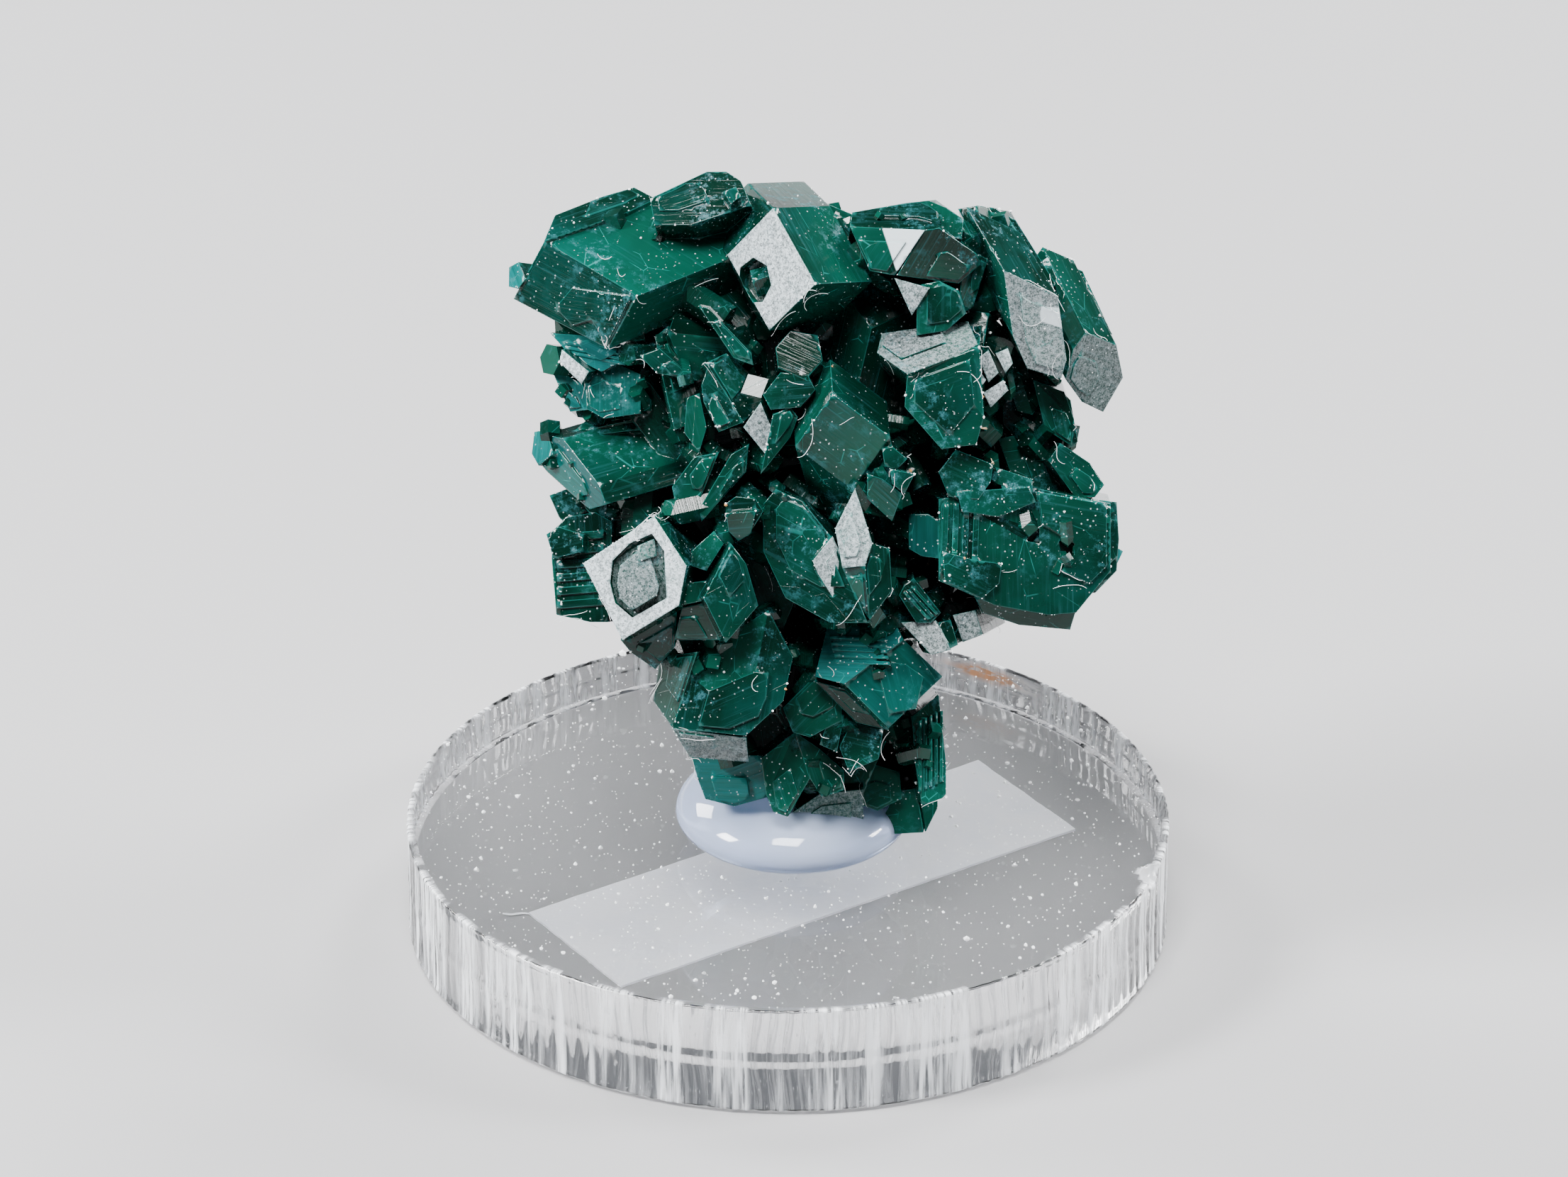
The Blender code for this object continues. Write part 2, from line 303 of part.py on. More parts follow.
    Crystal("crown_fill", [(1.4, 15.5), (2.6, 15.0), (3.5, 12.6), (2.4, 10.7), (1.0, 11.7)],
            depth=3.2, looks=(0, 0.1, 0.99), run=(0, 0, -1), length=6),
    Crystal("centre_fill", [(-4.2, 10.6), (-1.0, 10.5), (1.6, 8.5), (0.7, 4.8), (-2.8, 4.1), (-4.4, 6.7)],
            depth=4.2, looks=(0, 0.05, 0.99), run=(0, 0, -1), length=5),
    Crystal("heart_fill", [(-4.8, 2.8), (-0.9, 3.1), (0.7, 0.2), (-0.6, -3.0), (-4.0, -2.4)],
            depth=3.0, looks=(0, -0.1, 0.99), run=(0, 0.1, -1), length=6),
    Crystal("waist_fill", [(-2.9, -2.3), (2.2, -3.2), (4.5, -5.6), (3.1, -8.8), (-1.5, -8.4), (-3.1, -5.6)],
            depth=0.7, looks=(0, -0.1, 0.99), run=(0, 0.1, -1), length=5),
    Crystal("front_hex_left", [(-5.2, -3.1), (-3.7, -2.9), (-4.7, -6.0), (-5.5, -4.9)],
            depth=4.2, looks=(-0.75, 0, 0.65), run=(0.3, 0.05, -0.95), length=6),
    Crystal("front_hex_under", [(-4.7, -6.0), (-1.7, -6.4), (-1.6, -7.4), (-4.0, -7.2)],
            depth=4.3, looks=(-0.05, -0.7, 0.7), run=(0, 0.45, -0.9), length=5),
    Crystal("low_cubes_fill", [(4.4, -0.2), (5.7, -0.5), (7.7, -1.2), (8.0, -2.1), (6.7, -2.5), (4.8, -2.3)],
            depth=3.8, looks=(0, 0.1, 0.99), run=(-0.1, 0.1, -1), length=6),
]

# Corner crystals: tip, and the three edges that leave it
CORNER_CRYSTALS = {
    "crown_centre": ((1.1, 11.9, 9.3), ((-1.85, -1.8, -1.9), (-1.7, 3.1, -1.4), (2.3, 0.2, -2.4)), 5.0),
    "mid_blue": ((1.8, 7.5, 8.3), ((2.3, -1.7, -0.6), (-0.1, 1.45, -1.6), (-1.5, -2.1, -0.7)), 4.0),
}

# Growth plates: host crystal, outline, height of the step
PLATES = [
    ("shoulder_left", [(-8.7, 11.9), (-6.3, 11.5), (-7.3, 9.6), (-7.9, 10.6), (-8.7, 10.4), (-9.4, 11.1)], 0.12),
    ("front_hex", [(-3.2, -4.5), (-1.3, -3.7), (-0.8, -3.8), (-0.9, -4.8), (-1.2, -5.5), (-2.4, -6.0),
                   (-3.6, -5.9)], 0.15),
    ("low_right_square", [(3.7, -3.8), (4.2, -3.3), (4.8, -3.4), (5.5, -3.9), (5.2, -5.2), (4.1, -5.4)], 0.12),
    ("barrel", [(6.2, 1.2), (7.3, 0.9), (8.6, 0.7), (8.5, -0.1), (7.8, -0.7), (6.3, 0.0)], 0.35),
    ("barrel", [(10.1, 3.6), (12.9, 3.1), (12.9, 0.6), (12.2, -0.1), (11.1, 0.4), (11.6, 1.5), (10.3, 2.3)], 0.2),
    ("barrel", [(6.8, 3.6), (9.7, 3.8), (10.0, 3.2), (8.5, 2.6), (7.0, 2.8)], 0.3),
    ("block_right_front", [(5.1, 8.1), (7.3, 8.9), (7.5, 7.1), (6.5, 5.9), (5.1, 7.2)], 0.12),
]

# Rows of growth ridges: host crystal, first corner, along a ridge, step to the next, count, rise
RIDGES = [
    ("barrel", (6.15, 0.3), (0.1, 2.8), (0.42, 0.02), 4, 0.16),
    ("left_block", (-9.45, 1.9), (1.9, 0.15), (0.0, -0.55), 6, 0.12),
    ("column_right", (5.35, -8.7), (0.0, 2.9), (0.22, 0.1), 5, 0.1),
    ("low_right_stripe", (1.7, -2.25), (2.2, -0.1), (0.06, -0.24), 5, 0.06),
    ("striped", (4.65, -0.5), (1.0, -1.1), (0.17, 0.1), 3, 0.1),
    ("under_teal", (-9.1, 9.75), (2.3, -0.5), (0.08, -0.2), 3, 0.08),
]

# Crystals that stand in the pits
ISLANDS = [
    Crystal("square_island", [(-6.8, 0.6), (-6.1, 1.2), (-5.6, 1.1), (-5.2, -0.2), (-5.3, -0.6), (-6.3, -1.2),
                              (-6.8, -0.7), (-6.9, -0.1)],
            depth=6.8, looks=(-0.12, 0.12, 0.98), run=(0, 0, -1), length=1),
    Crystal("square_neck", [(-6.1, 1.4), (-5.4, 1.7), (-5.3, 1.0), (-6.0, 0.8)],
            depth=6.85, looks=(-0.2, 0.05, 0.98), run=(0, 0, -1), length=1),
]

# Faces that carry plates of their own, or none
PLAIN_FACES = ("shoulder_left", "front_hex", "low_right_square", "square_left", "block_right_front",
               "left_block", "barrel", "barrel_low", "column_right", "low_right_stripe", "striped")

# Etch pits: host crystal, outline, depth
PITS = [
    ("square_left", [(-7.1, 0.8), (-6.4, 1.5), (-5.5, 1.9), (-5.0, 1.2), (-4.9, -0.7), (-6.3, -1.5),
                     (-7.0, -0.9), (-7.2, -0.1)], 0.25),
    ("barrel", [(9.7, 2.2), (10.2, 2.1), (10.2, 1.5), (9.7, 1.6)], 0.35),
    ("barrel", [(11.0, 1.6), (11.5, 1.7), (11.6, 0.9), (11.1, 0.8)], 0.35),
]

# The round pit on the crown's bright face, the crystal perched in it, and the growth steps
CROWN_PIT = (-1.3, 12.1, 6.9)
CROWN_PIT_LOOKS = (-0.69, -0.06, 0.72)
CROWN_PIT_RADIUS = 0.00095
CROWN_PIT_DEPTH = 0.0005
PERCHED_RISE = 0.0002
PERCHED_RADIUS = 0.00066
PERCHED_LENGTH = 0.0015
PERCHED_TURN = 0.4
PLATE_ROOT = 0.3
RIDGE_SHARE = 0.55
STEP_SEED = 4
STEP_SMALLEST = 1.3
STEP_RISE = (0.06, 0.13)
STEP_SCALE = (0.45, 0.72)
STEP_PULL = 0.7
PIT_HEADROOM = 0.6


def hull_object(name, points):
    """Convex solid around a list of points."""
    mesh = bpy.data.meshes.new(name)
    shape = bmesh.new()
    for point in points:
        shape.verts.new(point)
    result = bmesh.ops.convex_hull(shape, input=shape.verts)
    loose = [v for v in result["geom_interior"] + result["geom_unused"] if isinstance(v, bmesh.types.BMVert)]
    bmesh.ops.delete(shape, geom=list(set(loose)), context="VERTS")
    bmesh.ops.dissolve_limit(shape, angle_limit=math.radians(1.0), verts=shape.verts, edges=shape.edges)
    bmesh.ops.recalc_face_normals(shape, faces=shape.faces)
    shape.to_mesh(mesh)
    shape.free()
    return new_object(name, mesh)


def prism_object(name, outline, shift):
    """Solid swept from a flat outline along shift; the outline may have hollows."""
    mesh = bpy.data.meshes.new(name)
    shape = bmesh.new()
    face = shape.faces.new([shape.verts.new(point) for point in outline])
    swept = bmesh.ops.extrude_face_region(shape, geom=[face])
    moved = [item for item in swept["geom"] if isinstance(item, bmesh.types.BMVert)]
    bmesh.ops.translate(shape, verts=moved, vec=shift)
    bmesh.ops.recalc_face_normals(shape, faces=shape.faces)
    shape.to_mesh(mesh)
    shape.free()
    return new_object(name, mesh)


def new_object(name, mesh):
    body = bpy.data.objects.new(name, mesh)
    bpy.context.scene.collection.objects.link(body)
    return body


def dioptase_points(tip, axis, roll, radius, length, stretch=1.0):
    """Corners of one dioptase crystal: a hexagonal prism ended by the three faces of a rhomb.

    The rhomb's faces lean RHOMB_TILT from the axis, so a corner of the prism lies
    radius * tan(RHOMB_TILT) below the tip where it meets one face, and half of that between two.
    """
    side = axis.orthogonal().normalized()
    turn = Matrix.Rotation(roll, 3, axis)
    side = turn @ side
    other = axis.cross(side)
    fall = radius * math.tan(RHOMB_TILT)
    points = [tip]
    for corner in range(6):
        angle = corner * math.pi / 3
        out = side * math.cos(angle) * stretch + other * math.sin(angle)
        drop = fall if corner % 2 == 0 else fall / 2
        points.append(tip + out * radius - axis * drop)
        points.append(tip + out * radius - axis * length)
    return points


def corner_crystal(name, tip, edges, length):
    """Crystal whose three faces around the tip all show: a rhomb carried back along its axis."""
    start = seen(*tip)
    first, second, third = [seen(*(t + e for t, e in zip(tip, edge))) - start for edge in edges]
    axis = (first + second + third).normalized()
    rim = [first, second, third, first + second, second + third, third + first]
    points = [start] + [start + p for p in rim] + [start + p + axis * length * MM for p in rim]
    return hull_object(name, points)


def ridge_row(number, host, start, along, step, count, rise):
    """Parallel growth ridges on a face."""
    ridges = []
    for index in range(count):
        first = (start[0] + step[0] * index, start[1] + step[1] * index)
        corners = [first, (first[0] + along[0], first[1] + along[1])]
        corners += [(x + step[0] * RIDGE_SHARE, y + step[1] * RIDGE_SHARE) for x, y in reversed(corners)]
        inward = seen_direction(host.looks) * -(rise + PLATE_ROOT) * MM
        ridges.append(prism_object(f"ridge_{number}_{index}", [host.corner(p, rise) for p in corners], inward))
    return ridges


def growth_steps():
    """A thin plate on each larger face, with the face's own outline drawn in towards one corner."""
    chance = random.Random(STEP_SEED)
    steps = []
    for crystal in FRONT_CRYSTALS:
        middle = crystal.middle()
        corner = chance.choice(crystal.outline)
        scale = chance.uniform(*STEP_SCALE)
        rise = chance.uniform(*STEP_RISE)
        if max(math.dist(p, middle) for p in crystal.outline) < STEP_SMALLEST or crystal.name in PLAIN_FACES:
            continue
        focus = [m + (c - m) * STEP_PULL for m, c in zip(middle, corner)]
        outline = [[f + (a - f) * scale for f, a in zip(focus, p)] for p in crystal.outline]
        inward = seen_direction(crystal.looks) * -(rise + PLATE_ROOT) * MM
        steps.append(prism_object(f"step_{crystal.name}", [crystal.corner(p, rise) for p in outline], inward))
    return steps


# The back of the cluster: height, middle across, reach to the sides and reach to the back, in millimetres
BACK_PROFILE = [
    (7.0, 1.2, 3.2, 2.2),
    (12.0, 1.2, 5.0, 4.2),
    (17.0, 1.5, 8.5, 6.2),
    (22.0, 1.3, 9.3, 6.8),
    (27.0, 1.0, 8.6, 5.6),
    (30.0, 1.0, 5.5, 3.0),
]
BACK_COUNT = 42
BACK_FRONT_LIMIT = -1.5
BACK_SEED = 11
BACK_SPREAD = (0.88, 1.05)
BACK_LEAN = 0.25
BACK_RADIUS = (1.3, 2.6)
BACK_LOW = 12.0
BACK_LOW_SHARE = 0.75
BACK_LONGEST = 7.5
BACK_STRETCH = (0.8, 1.3)
BACK_ROOT_ACROSS = 0.7
BACK_ROOT_RISE = 0.45


def back_reach(height):
    """Middle, side reach and back reach of the cluster at a height, in millimetres."""
    for low, high in zip(BACK_PROFILE, BACK_PROFILE[1:]):
        if height <= high[0]:
            part = (height - low[0]) / (high[0] - low[0])
            return [a + (b - a) * part for a, b in zip(low[1:], high[1:])]
    return list(BACK_PROFILE[-1][1:])


def back_crystals():
    """Crystals that radiate from the heart over the back and sides, spread by the golden angle."""
    chance = random.Random(BACK_SEED)
    golden = math.pi * (3 - math.sqrt(5))
    low, high = BACK_PROFILE[0][0], BACK_PROFILE[-1][0]
    crystals = []
    for index in range(BACK_COUNT):
        height = low + (high - low) * (index + 0.5) / BACK_COUNT
        azimuth = (index * golden) % math.pi
        middle, side, back = back_reach(height)
        spread = chance.uniform(*BACK_SPREAD)
        tip = Vector((middle + side * math.cos(azimuth) * spread, back * math.sin(azimuth) * spread, height))
        root = Vector((middle * BACK_ROOT_ACROSS, 0.0, BACK_LOW + (height - BACK_LOW) * BACK_ROOT_RISE))
        lean = Vector([chance.uniform(-BACK_LEAN, BACK_LEAN) for _ in range(3)])
        axis = ((tip - root).normalized() + lean).normalized()
        radius = chance.uniform(*BACK_RADIUS) * (BACK_LOW_SHARE if height < BACK_LOW else 1.0)
        length = min((tip - root).length, BACK_LONGEST)
        points = dioptase_points(tip * MM, axis, chance.uniform(0, math.tau), radius * MM, length * MM,
                                 chance.uniform(*BACK_STRETCH))
        ahead = min(0.0, min(p.y for p in points) - BACK_FRONT_LIMIT * MM)
        points = [p - Vector((0, ahead, 0)) for p in points]
        crystals.append(hull_object(f"back_{index}", points))
    return crystals


def joined(name, bodies, cutters=()):
    """One closed solid from overlapping bodies, less the cutters."""
    group = bpy.data.collections.new(name + "_bodies")
    for body in bodies[1:]:
        group.objects.link(body)
    base = bodies[0]
    union = base.modifiers.new("union", "BOOLEAN")
    union.operation = "UNION"
    union.operand_type = "COLLECTION"
    union.collection = group
    union.solver = "EXACT"
    for cutter in cutters:
        cut = base.modifiers.new("cut", "BOOLEAN")
        cut.operation = "DIFFERENCE"
        cut.object = cutter
        cut.solver = "EXACT"
    seen_now = bpy.context.evaluated_depsgraph_get()
    mesh = bpy.data.meshes.new_from_object(base.evaluated_get(seen_now))
    for body in list(bodies) + list(cutters):
        bpy.data.objects.remove(body)
    bpy.data.collections.remove(group)
    mesh.name = name
    fill_cavities(mesh)
    return new_object(name, mesh)


def fill_cavities(mesh):
    """Keep the outer skin and drop the skins of hollows that crystals close off between them."""
    shape = bmesh.new()
    shape.from_mesh(mesh)
    waiting = set(shape.verts)
    skins = []
    while waiting:
        skin = [waiting.pop()]
        for vert in skin:
            for edge in vert.link_edges:
                other = edge.other_vert(vert)
                if other in waiting:
                    waiting.remove(other)
                    skin.append(other)
        skins.append(skin)
    skins.sort(key=span, reverse=True)
    inner = [vert for skin in skins[1:] for vert in skin]
    bmesh.ops.delete(shape, geom=inner, context="VERTS")
    shape.to_mesh(mesh)
    shape.free()


def span(skin):
    """Diagonal of the box around some vertices."""
    lows = [min(v.co[axis] for v in skin) for axis in range(3)]
    highs = [max(v.co[axis] for v in skin) for axis in range(3)]
    return math.dist(lows, highs)


def crystal_cluster():
    """All the crystals joined in one solid, with growth plates and etch pits."""
    hosts = {crystal.name: crystal for crystal in FRONT_CRYSTALS}
    bodies = [hull_object(crystal.name, crystal.points()) for crystal in FRONT_CRYSTALS]
    for name, (tip, edges, length) in CORNER_CRYSTALS.items():
        bodies.append(corner_crystal(name, tip, edges, length))
    for number, (host, outline, rise) in enumerate(PLATES):
        crystal = hosts[host]
        inward = seen_direction(crystal.looks) * -(rise + PLATE_ROOT) * MM
        bodies.append(prism_object(f"plate_{number}", [crystal.corner(p, rise) for p in outline], inward))
    for number, (host, *row) in enumerate(RIDGES):
        bodies += ridge_row(number, hosts[host], *row)
    bodies += growth_steps()
    bodies += back_crystals()
    cutters = []
    for number, (host, outline, deep) in enumerate(PITS):
        crystal = hosts[host]
        inward = seen_direction(crystal.looks) * -(deep + PIT_HEADROOM) * MM
        cutters.append(prism_object(f"pit_{number}", [crystal.corner(p, PIT_HEADROOM) for p in outline], inward))
    crown_pit, perched = perched_crystal()
    cutters.append(crown_pit)
    cluster = joined("dioptase_cluster", bodies, cutters)
    islands = [hull_object(crystal.name, crystal.points()) for crystal in ISLANDS]
    return joined("dioptase_cluster", [cluster, perched] + islands)


def perched_crystal():
    """The round pit on the crown's bright face, and the small crystal that stands in it."""
    spot = seen(*CROWN_PIT)
    facing = seen_direction(CROWN_PIT_LOOKS)
    pit = [spot + facing * PIT_HEADROOM * MM + p for p in polygon(facing, CROWN_PIT_RADIUS, 7)]
    pit = prism_object("crown_pit", pit, facing * -(PIT_HEADROOM * MM + CROWN_PIT_DEPTH))
    small = dioptase_points(spot + facing * PERCHED_RISE, facing, PERCHED_TURN, PERCHED_RADIUS, PERCHED_LENGTH)
    return pit, hull_object("perched", small)


def polygon(axis, radius, sides):
    """Corners of a flat polygon across an axis."""
    side = axis.orthogonal().normalized()
    other = axis.cross(side)
    steps = [math.tau * index / sides for index in range(sides)]
    return [(side * math.cos(a) + other * math.sin(a)) * radius for a in steps]


def disc_edge(azimuth):
    """Radius of the laser-cut edge, which ripples around the disc."""
    return BASE_DIAMETER / 2 - EDGE_RIPPLE_DEPTH * (0.5 - 0.5 * math.cos(EDGE_RIPPLES * azimuth))


def acrylic_base():
    """Round disc with a laser-cut edge and a chip out of its upper rim."""
    count = EDGE_RIPPLES * 2
    steps = [math.tau * index / count for index in range(count)]
    rim = [Vector((disc_edge(a) * math.cos(a), disc_edge(a) * math.sin(a), BASE_BOTTOM)) for a in steps]
    disc = prism_object("acrylic_base", rim, Vector((0, 0, BASE_THICKNESS)))
    bpy.ops.mesh.primitive_ico_sphere_add(subdivisions=2, radius=CHIP_RADIUS)
    chip = bpy.context.object
    edge = BASE_DIAMETER / 2 + CHIP_OUT
    chip.location = (edge * math.cos(CHIP_AZIMUTH), edge * math.sin(CHIP_AZIMUTH), BASE_TOP)
    return joined("acrylic_base", [disc], [chip])


def paper_label():
    """Thin strip under the disc."""
    along = Vector((math.cos(LABEL_TURN), math.sin(LABEL_TURN), 0)) * LABEL_LENGTH / 2
    aside = Vector((-math.sin(LABEL_TURN), math.cos(LABEL_TURN), 0)) * LABEL_WIDTH / 2
    middle = Vector((*LABEL_CENTRE, 0))
    corners = [middle - along - aside, middle + along - aside, middle + along + aside, middle - along + aside]
    return prism_object("paper_label", corners, Vector((0, 0, LABEL_THICKNESS)))


def mounting_gel(cluster):
    """Flattened drop with a flat underside and a pocket for the crystals' feet."""
    top = BASE_TOP + LAYER_GAP
    bpy.ops.mesh.primitive_uv_sphere_add(segments=36, ring_count=18, radius=1)
    drop = bpy.context.object
    centre = Vector((*GEL_CENTRE, top + GEL_HALF_HEIGHT - GEL_SINK))
    drop.data.transform(Matrix.Translation(centre) @ Matrix.Diagonal((GEL_RADIUS, GEL_RADIUS, GEL_HALF_HEIGHT, 1)))
    bpy.ops.mesh.primitive_cube_add(size=4 * GEL_RADIUS)
    below = bpy.context.object
    below.data.transform(Matrix.Translation((*GEL_CENTRE, top - 2 * GEL_RADIUS)))
    ceiling = centre.z + GEL_HALF_HEIGHT
    feet = [v.co.copy() for v in cluster.data.vertices if v.co.z < ceiling + POCKET_GAP]
    middle = sum(feet, Vector()) / len(feet)
    wide = [p + (p - middle).normalized() * POCKET_GAP for p in feet]
    wide += [Vector((p.x, p.y, ceiling + GEL_HALF_HEIGHT)) for p in wide]
    pocket = hull_object("pocket", wide)
    return joined("mounting_gel", [drop], [below, pocket])


def material(name, colour, roughness, transmission=0.0, ior=1.5):
    """Principled surface."""
    made = bpy.data.materials.new(name)
    made.use_nodes = True
    surface = made.node_tree.nodes["Principled BSDF"]
    surface.inputs["Base Color"].default_value = (*colour, 1)
    surface.inputs["Roughness"].default_value = roughness
    surface.inputs["Metallic"].default_value = 0.0
    surface.inputs["Transmission Weight"].default_value = transmission
    surface.inputs["IOR"].default_value = ior
    return made


def main():
    for thing in list(bpy.data.objects):
        bpy.data.objects.remove(thing)
    cluster = crystal_cluster()
    gel = mounting_gel(cluster)
    base = acrylic_base()
    label = paper_label()
    cluster.data.materials.append(material("dioptase", (0.0, 0.1, 0.05), 0.15, 0.6, 1.66))
    gel.data.materials.append(material("gel", (0.7, 0.8, 0.95), 0.1, 0.3, 1.41))
    base.data.materials.append(material("acrylic", (0.95, 0.97, 1.0), 0.03, 1.0, 1.49))
    label.data.materials.append(material("paper", (0.85, 0.86, 0.88), 0.8))


main()
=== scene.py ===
"""Dioptase specimen: intergrown crystals in mounting gel on a clear round base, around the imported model."""

import math

import bmesh
import bpy
import numpy as np
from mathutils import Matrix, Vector
from mathutils.bvhtree import BVHTree
from mathutils.geometry import delaunay_2d_cdt


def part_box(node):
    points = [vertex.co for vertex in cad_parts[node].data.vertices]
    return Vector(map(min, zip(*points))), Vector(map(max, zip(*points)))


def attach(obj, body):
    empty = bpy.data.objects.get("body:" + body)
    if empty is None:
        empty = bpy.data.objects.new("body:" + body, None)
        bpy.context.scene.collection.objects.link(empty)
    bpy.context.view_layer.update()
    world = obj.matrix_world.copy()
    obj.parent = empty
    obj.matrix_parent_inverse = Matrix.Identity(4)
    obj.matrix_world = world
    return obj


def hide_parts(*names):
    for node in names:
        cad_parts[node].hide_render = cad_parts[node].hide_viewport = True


bl_info = {
    "name": "Dioptase Specimen",
    "version": (1, 0, 0),
    "blender": (4, 5, 0),
    "location": "3D View > Sidebar > Specimen",
    "description": "Crystals, mounting gel, clear base, paper label, lint and dust of a mineral specimen",
    "category": "Add Mesh",
}

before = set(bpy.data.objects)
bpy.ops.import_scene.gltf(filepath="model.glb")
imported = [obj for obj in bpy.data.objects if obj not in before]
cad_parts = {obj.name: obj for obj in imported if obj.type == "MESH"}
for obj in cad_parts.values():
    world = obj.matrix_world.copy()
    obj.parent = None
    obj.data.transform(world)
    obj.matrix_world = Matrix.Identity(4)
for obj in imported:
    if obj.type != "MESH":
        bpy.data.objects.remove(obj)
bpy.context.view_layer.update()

MM = 0.001
VIEW_TILT = math.radians(28)
HEART = np.array([0.0, 0.0, 16.0])
ACROSS = np.array([1.0, 0.0, 0.0])
UPWARD = np.array([0.0, math.sin(VIEW_TILT), math.cos(VIEW_TILT)])
NEARER = np.array([0.0, -math.cos(VIEW_TILT), math.sin(VIEW_TILT)])

DISC_LOW, DISC_HIGH = [np.array(corner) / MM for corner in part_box("acrylic_base")]
GEL_LOW, GEL_HIGH = [np.array(corner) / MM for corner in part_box("mounting_gel")]
LABEL_LOW, LABEL_HIGH = [np.array(corner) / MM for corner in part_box("paper_label")]

# Faces with a pale etched finish that is partly a painted glint: middle (across, up, near) in millimetres,
# way it looks, reach, strength
ETCHED_AND_GLINT_FACES = [
    ((-5.8, 0.1, 6.8), (-0.3, -0.1, 0.95), 2.2, 1.0),
    ((-6.0, 0.0, 6.8), (-0.12, 0.12, 0.98), 0.9, 0.35),
    ((-5.7, 1.2, 6.8), (-0.2, 0.05, 0.98), 0.5, 0.3),
    ((-6.0, 0.1, 6.48), (-0.3, -0.1, 0.95), 0.8, 0.15),
    ((-0.7, 12.5, 7.6), (-0.69, -0.05, 0.72), 2.6, 0.8),
    ((-0.95, 12.1, 6.54), (-0.69, -0.05, 0.72), 0.5, 0.1),
    ((10.0, 10.3, 6.4), (0.25, -0.35, 0.9), 2.4, 0.5),
    ((12.4, 8.5, 4.0), (0.45, -0.4, 0.8), 1.5, 0.25),
    ((5.0, 11.6, 7.4), (-0.1, -0.2, 0.97), 1.0, 0.6),
    ((7.6, 8.2, 7.0), (-0.1, -0.1, 0.98), 0.6, 0.9),
    ((8.1, 8.7, 7.1), (0.1, -0.1, 0.98), 0.6, 0.6),
    ((8.8, 9.0, 6.4), (0.1, 0.0, 0.98), 0.6, 0.8),
    ((8.4, 7.6, 6.7), (0.0, -0.3, 0.95), 0.6, 0.9),
    ((2.0, 0.1, 7.1), (0.3, -0.1, 0.95), 1.2, 0.8),
    ((2.6, 1.9, 7.8), (-0.1, -0.05, 0.99), 0.9, 0.7),
    ((-1.1, 6.1, 7.0), (0.15, -0.1, 0.98), 0.5, 0.55),
    ((-8.8, 8.7, 4.7), (-0.35, -0.1, 0.93), 0.9, 0.95),
    ((5.7, -2.3, 6.0), (-0.1, 0.2, 0.97), 0.9, 0.4),
    ((7.3, -1.8, 5.4), (0.0, -0.1, 0.98), 0.7, 0.4),
    ((-3.0, -6.7, 4.3), (-0.05, -0.7, 0.7), 1.6, 0.35),
    ((1.6, -9.6, 0.4), (0.05, -0.5, 0.86), 1.6, 0.3),
    ((5.5, 9.5, 7.1), (-0.1, 0.75, 0.65), 1.9, 0.35),
]
TEAL_FACES = [
    ((-7.8, 9.4, 4.4), (-0.3, 0.1, 0.95), 2.0, 0.8),
    ((-8.8, 7.7, 3.4), (-0.5, 0.05, 0.87), 1.6, 0.6),
    ((-7.2, 7.7, 4.4), (-0.2, 0.2, 0.95), 1.2, 0.3),
    ((-2.5, -8.3, 1.0), (-0.1, -0.25, 0.96), 2.2, 1.0),
    ((13.4, 0.9, 3.6), (0.6, 0.1, 0.8), 1.0, 1.0),
    ((-11.1, 12.4, 3.8), (-0.7, 0.2, 0.6), 0.9, 1.0),
    ((-10.1, 5.5, 2.6), (-0.6, 0.3, 0.7), 1.1, 0.8),
    ((2.8, -2.8, 4.7), (-0.25, 0.4, 0.88), 2.2, 0.75),
    ((-9.0, 4.5, 3.2), (-0.78, -0.25, 0.57), 2.3, 0.5),
    ((5.5, 1.9, 6.1), (-0.1, 0.1, 0.98), 1.3, 0.35),
    ((-8.1, 8.4, 2.2), (-0.35, 0.1, 0.93), 2.2, 0.6),
    ((4.4, -4.1, 4.7), (0.15, -0.12, 0.98), 2.3, 0.3),
]
# Patches of painted reflection on part of a face: outline (across, up), near, way the face looks
PAINTED_REFLECTION_PATCHES = [
    ([(10.2, 11.1), (11.3, 11.0), (11.2, 10.2), (10.2, 10.5)], 6.4, (0.25, -0.35, 0.9)),
    ([(3.75, 14.35), (5.6, 14.2), (4.4, 12.4)], 7.6, (-0.35, -0.05, 0.93)),
]

# Where brown fibres and specks lie on the crystals: across, up, near
BROWN_FIBRES = [(8.5, 6.0, 7.2), (8.4, 5.2, 7.0)]
BROWN_SPECKS = [(2.4, 9.3, 7.5), (7.5, 7.4, 7.0), (7.2, 0.9, 7.0), (0.4, -4.5, 6.0), (-3.0, 3.0, 7.5),
                (5.0, 4.6, 7.0)]
# Crumbs on the disc: x, y, z and radius in millimetres. The last one sits on the rim
CRUMBS = [
    (7.3, -10.2, 4.84, 0.15), (-3.4, -12.9, 4.80, 0.10), (9.4, -4.2, 4.80, 0.12), (-11.3, -4.6, 4.80, 0.12),
    (-12.9, -4.6, 4.82, 0.14), (12.2, 1.3, 4.80, 0.11), (4.3, -14.8, 4.80, 0.09), (-0.6, -13.1, 4.80, 0.09),
    (-6.4, 5.9, 4.80, 0.10), (-7.2, 14.05, 4.88, 0.18),
]
# Softboxes: name, place in metres, side in metres, watts
SOFTBOXES = [
    ("Left_Softbox", (-0.327, -0.075, 0.267), 0.11, 4.5),
    ("Top_Softbox", (-0.035, -0.153, 0.403), 0.14, 4.0),
    ("Right_Softbox", (0.363, 0.019, 0.224), 0.11, 3.2),
    ("Back_Left_Softbox", (-0.278, 0.217, 0.243), 0.12, 2.4),
    ("Back_Right_Softbox", (0.191, 0.228, 0.311), 0.12, 2.4),
]


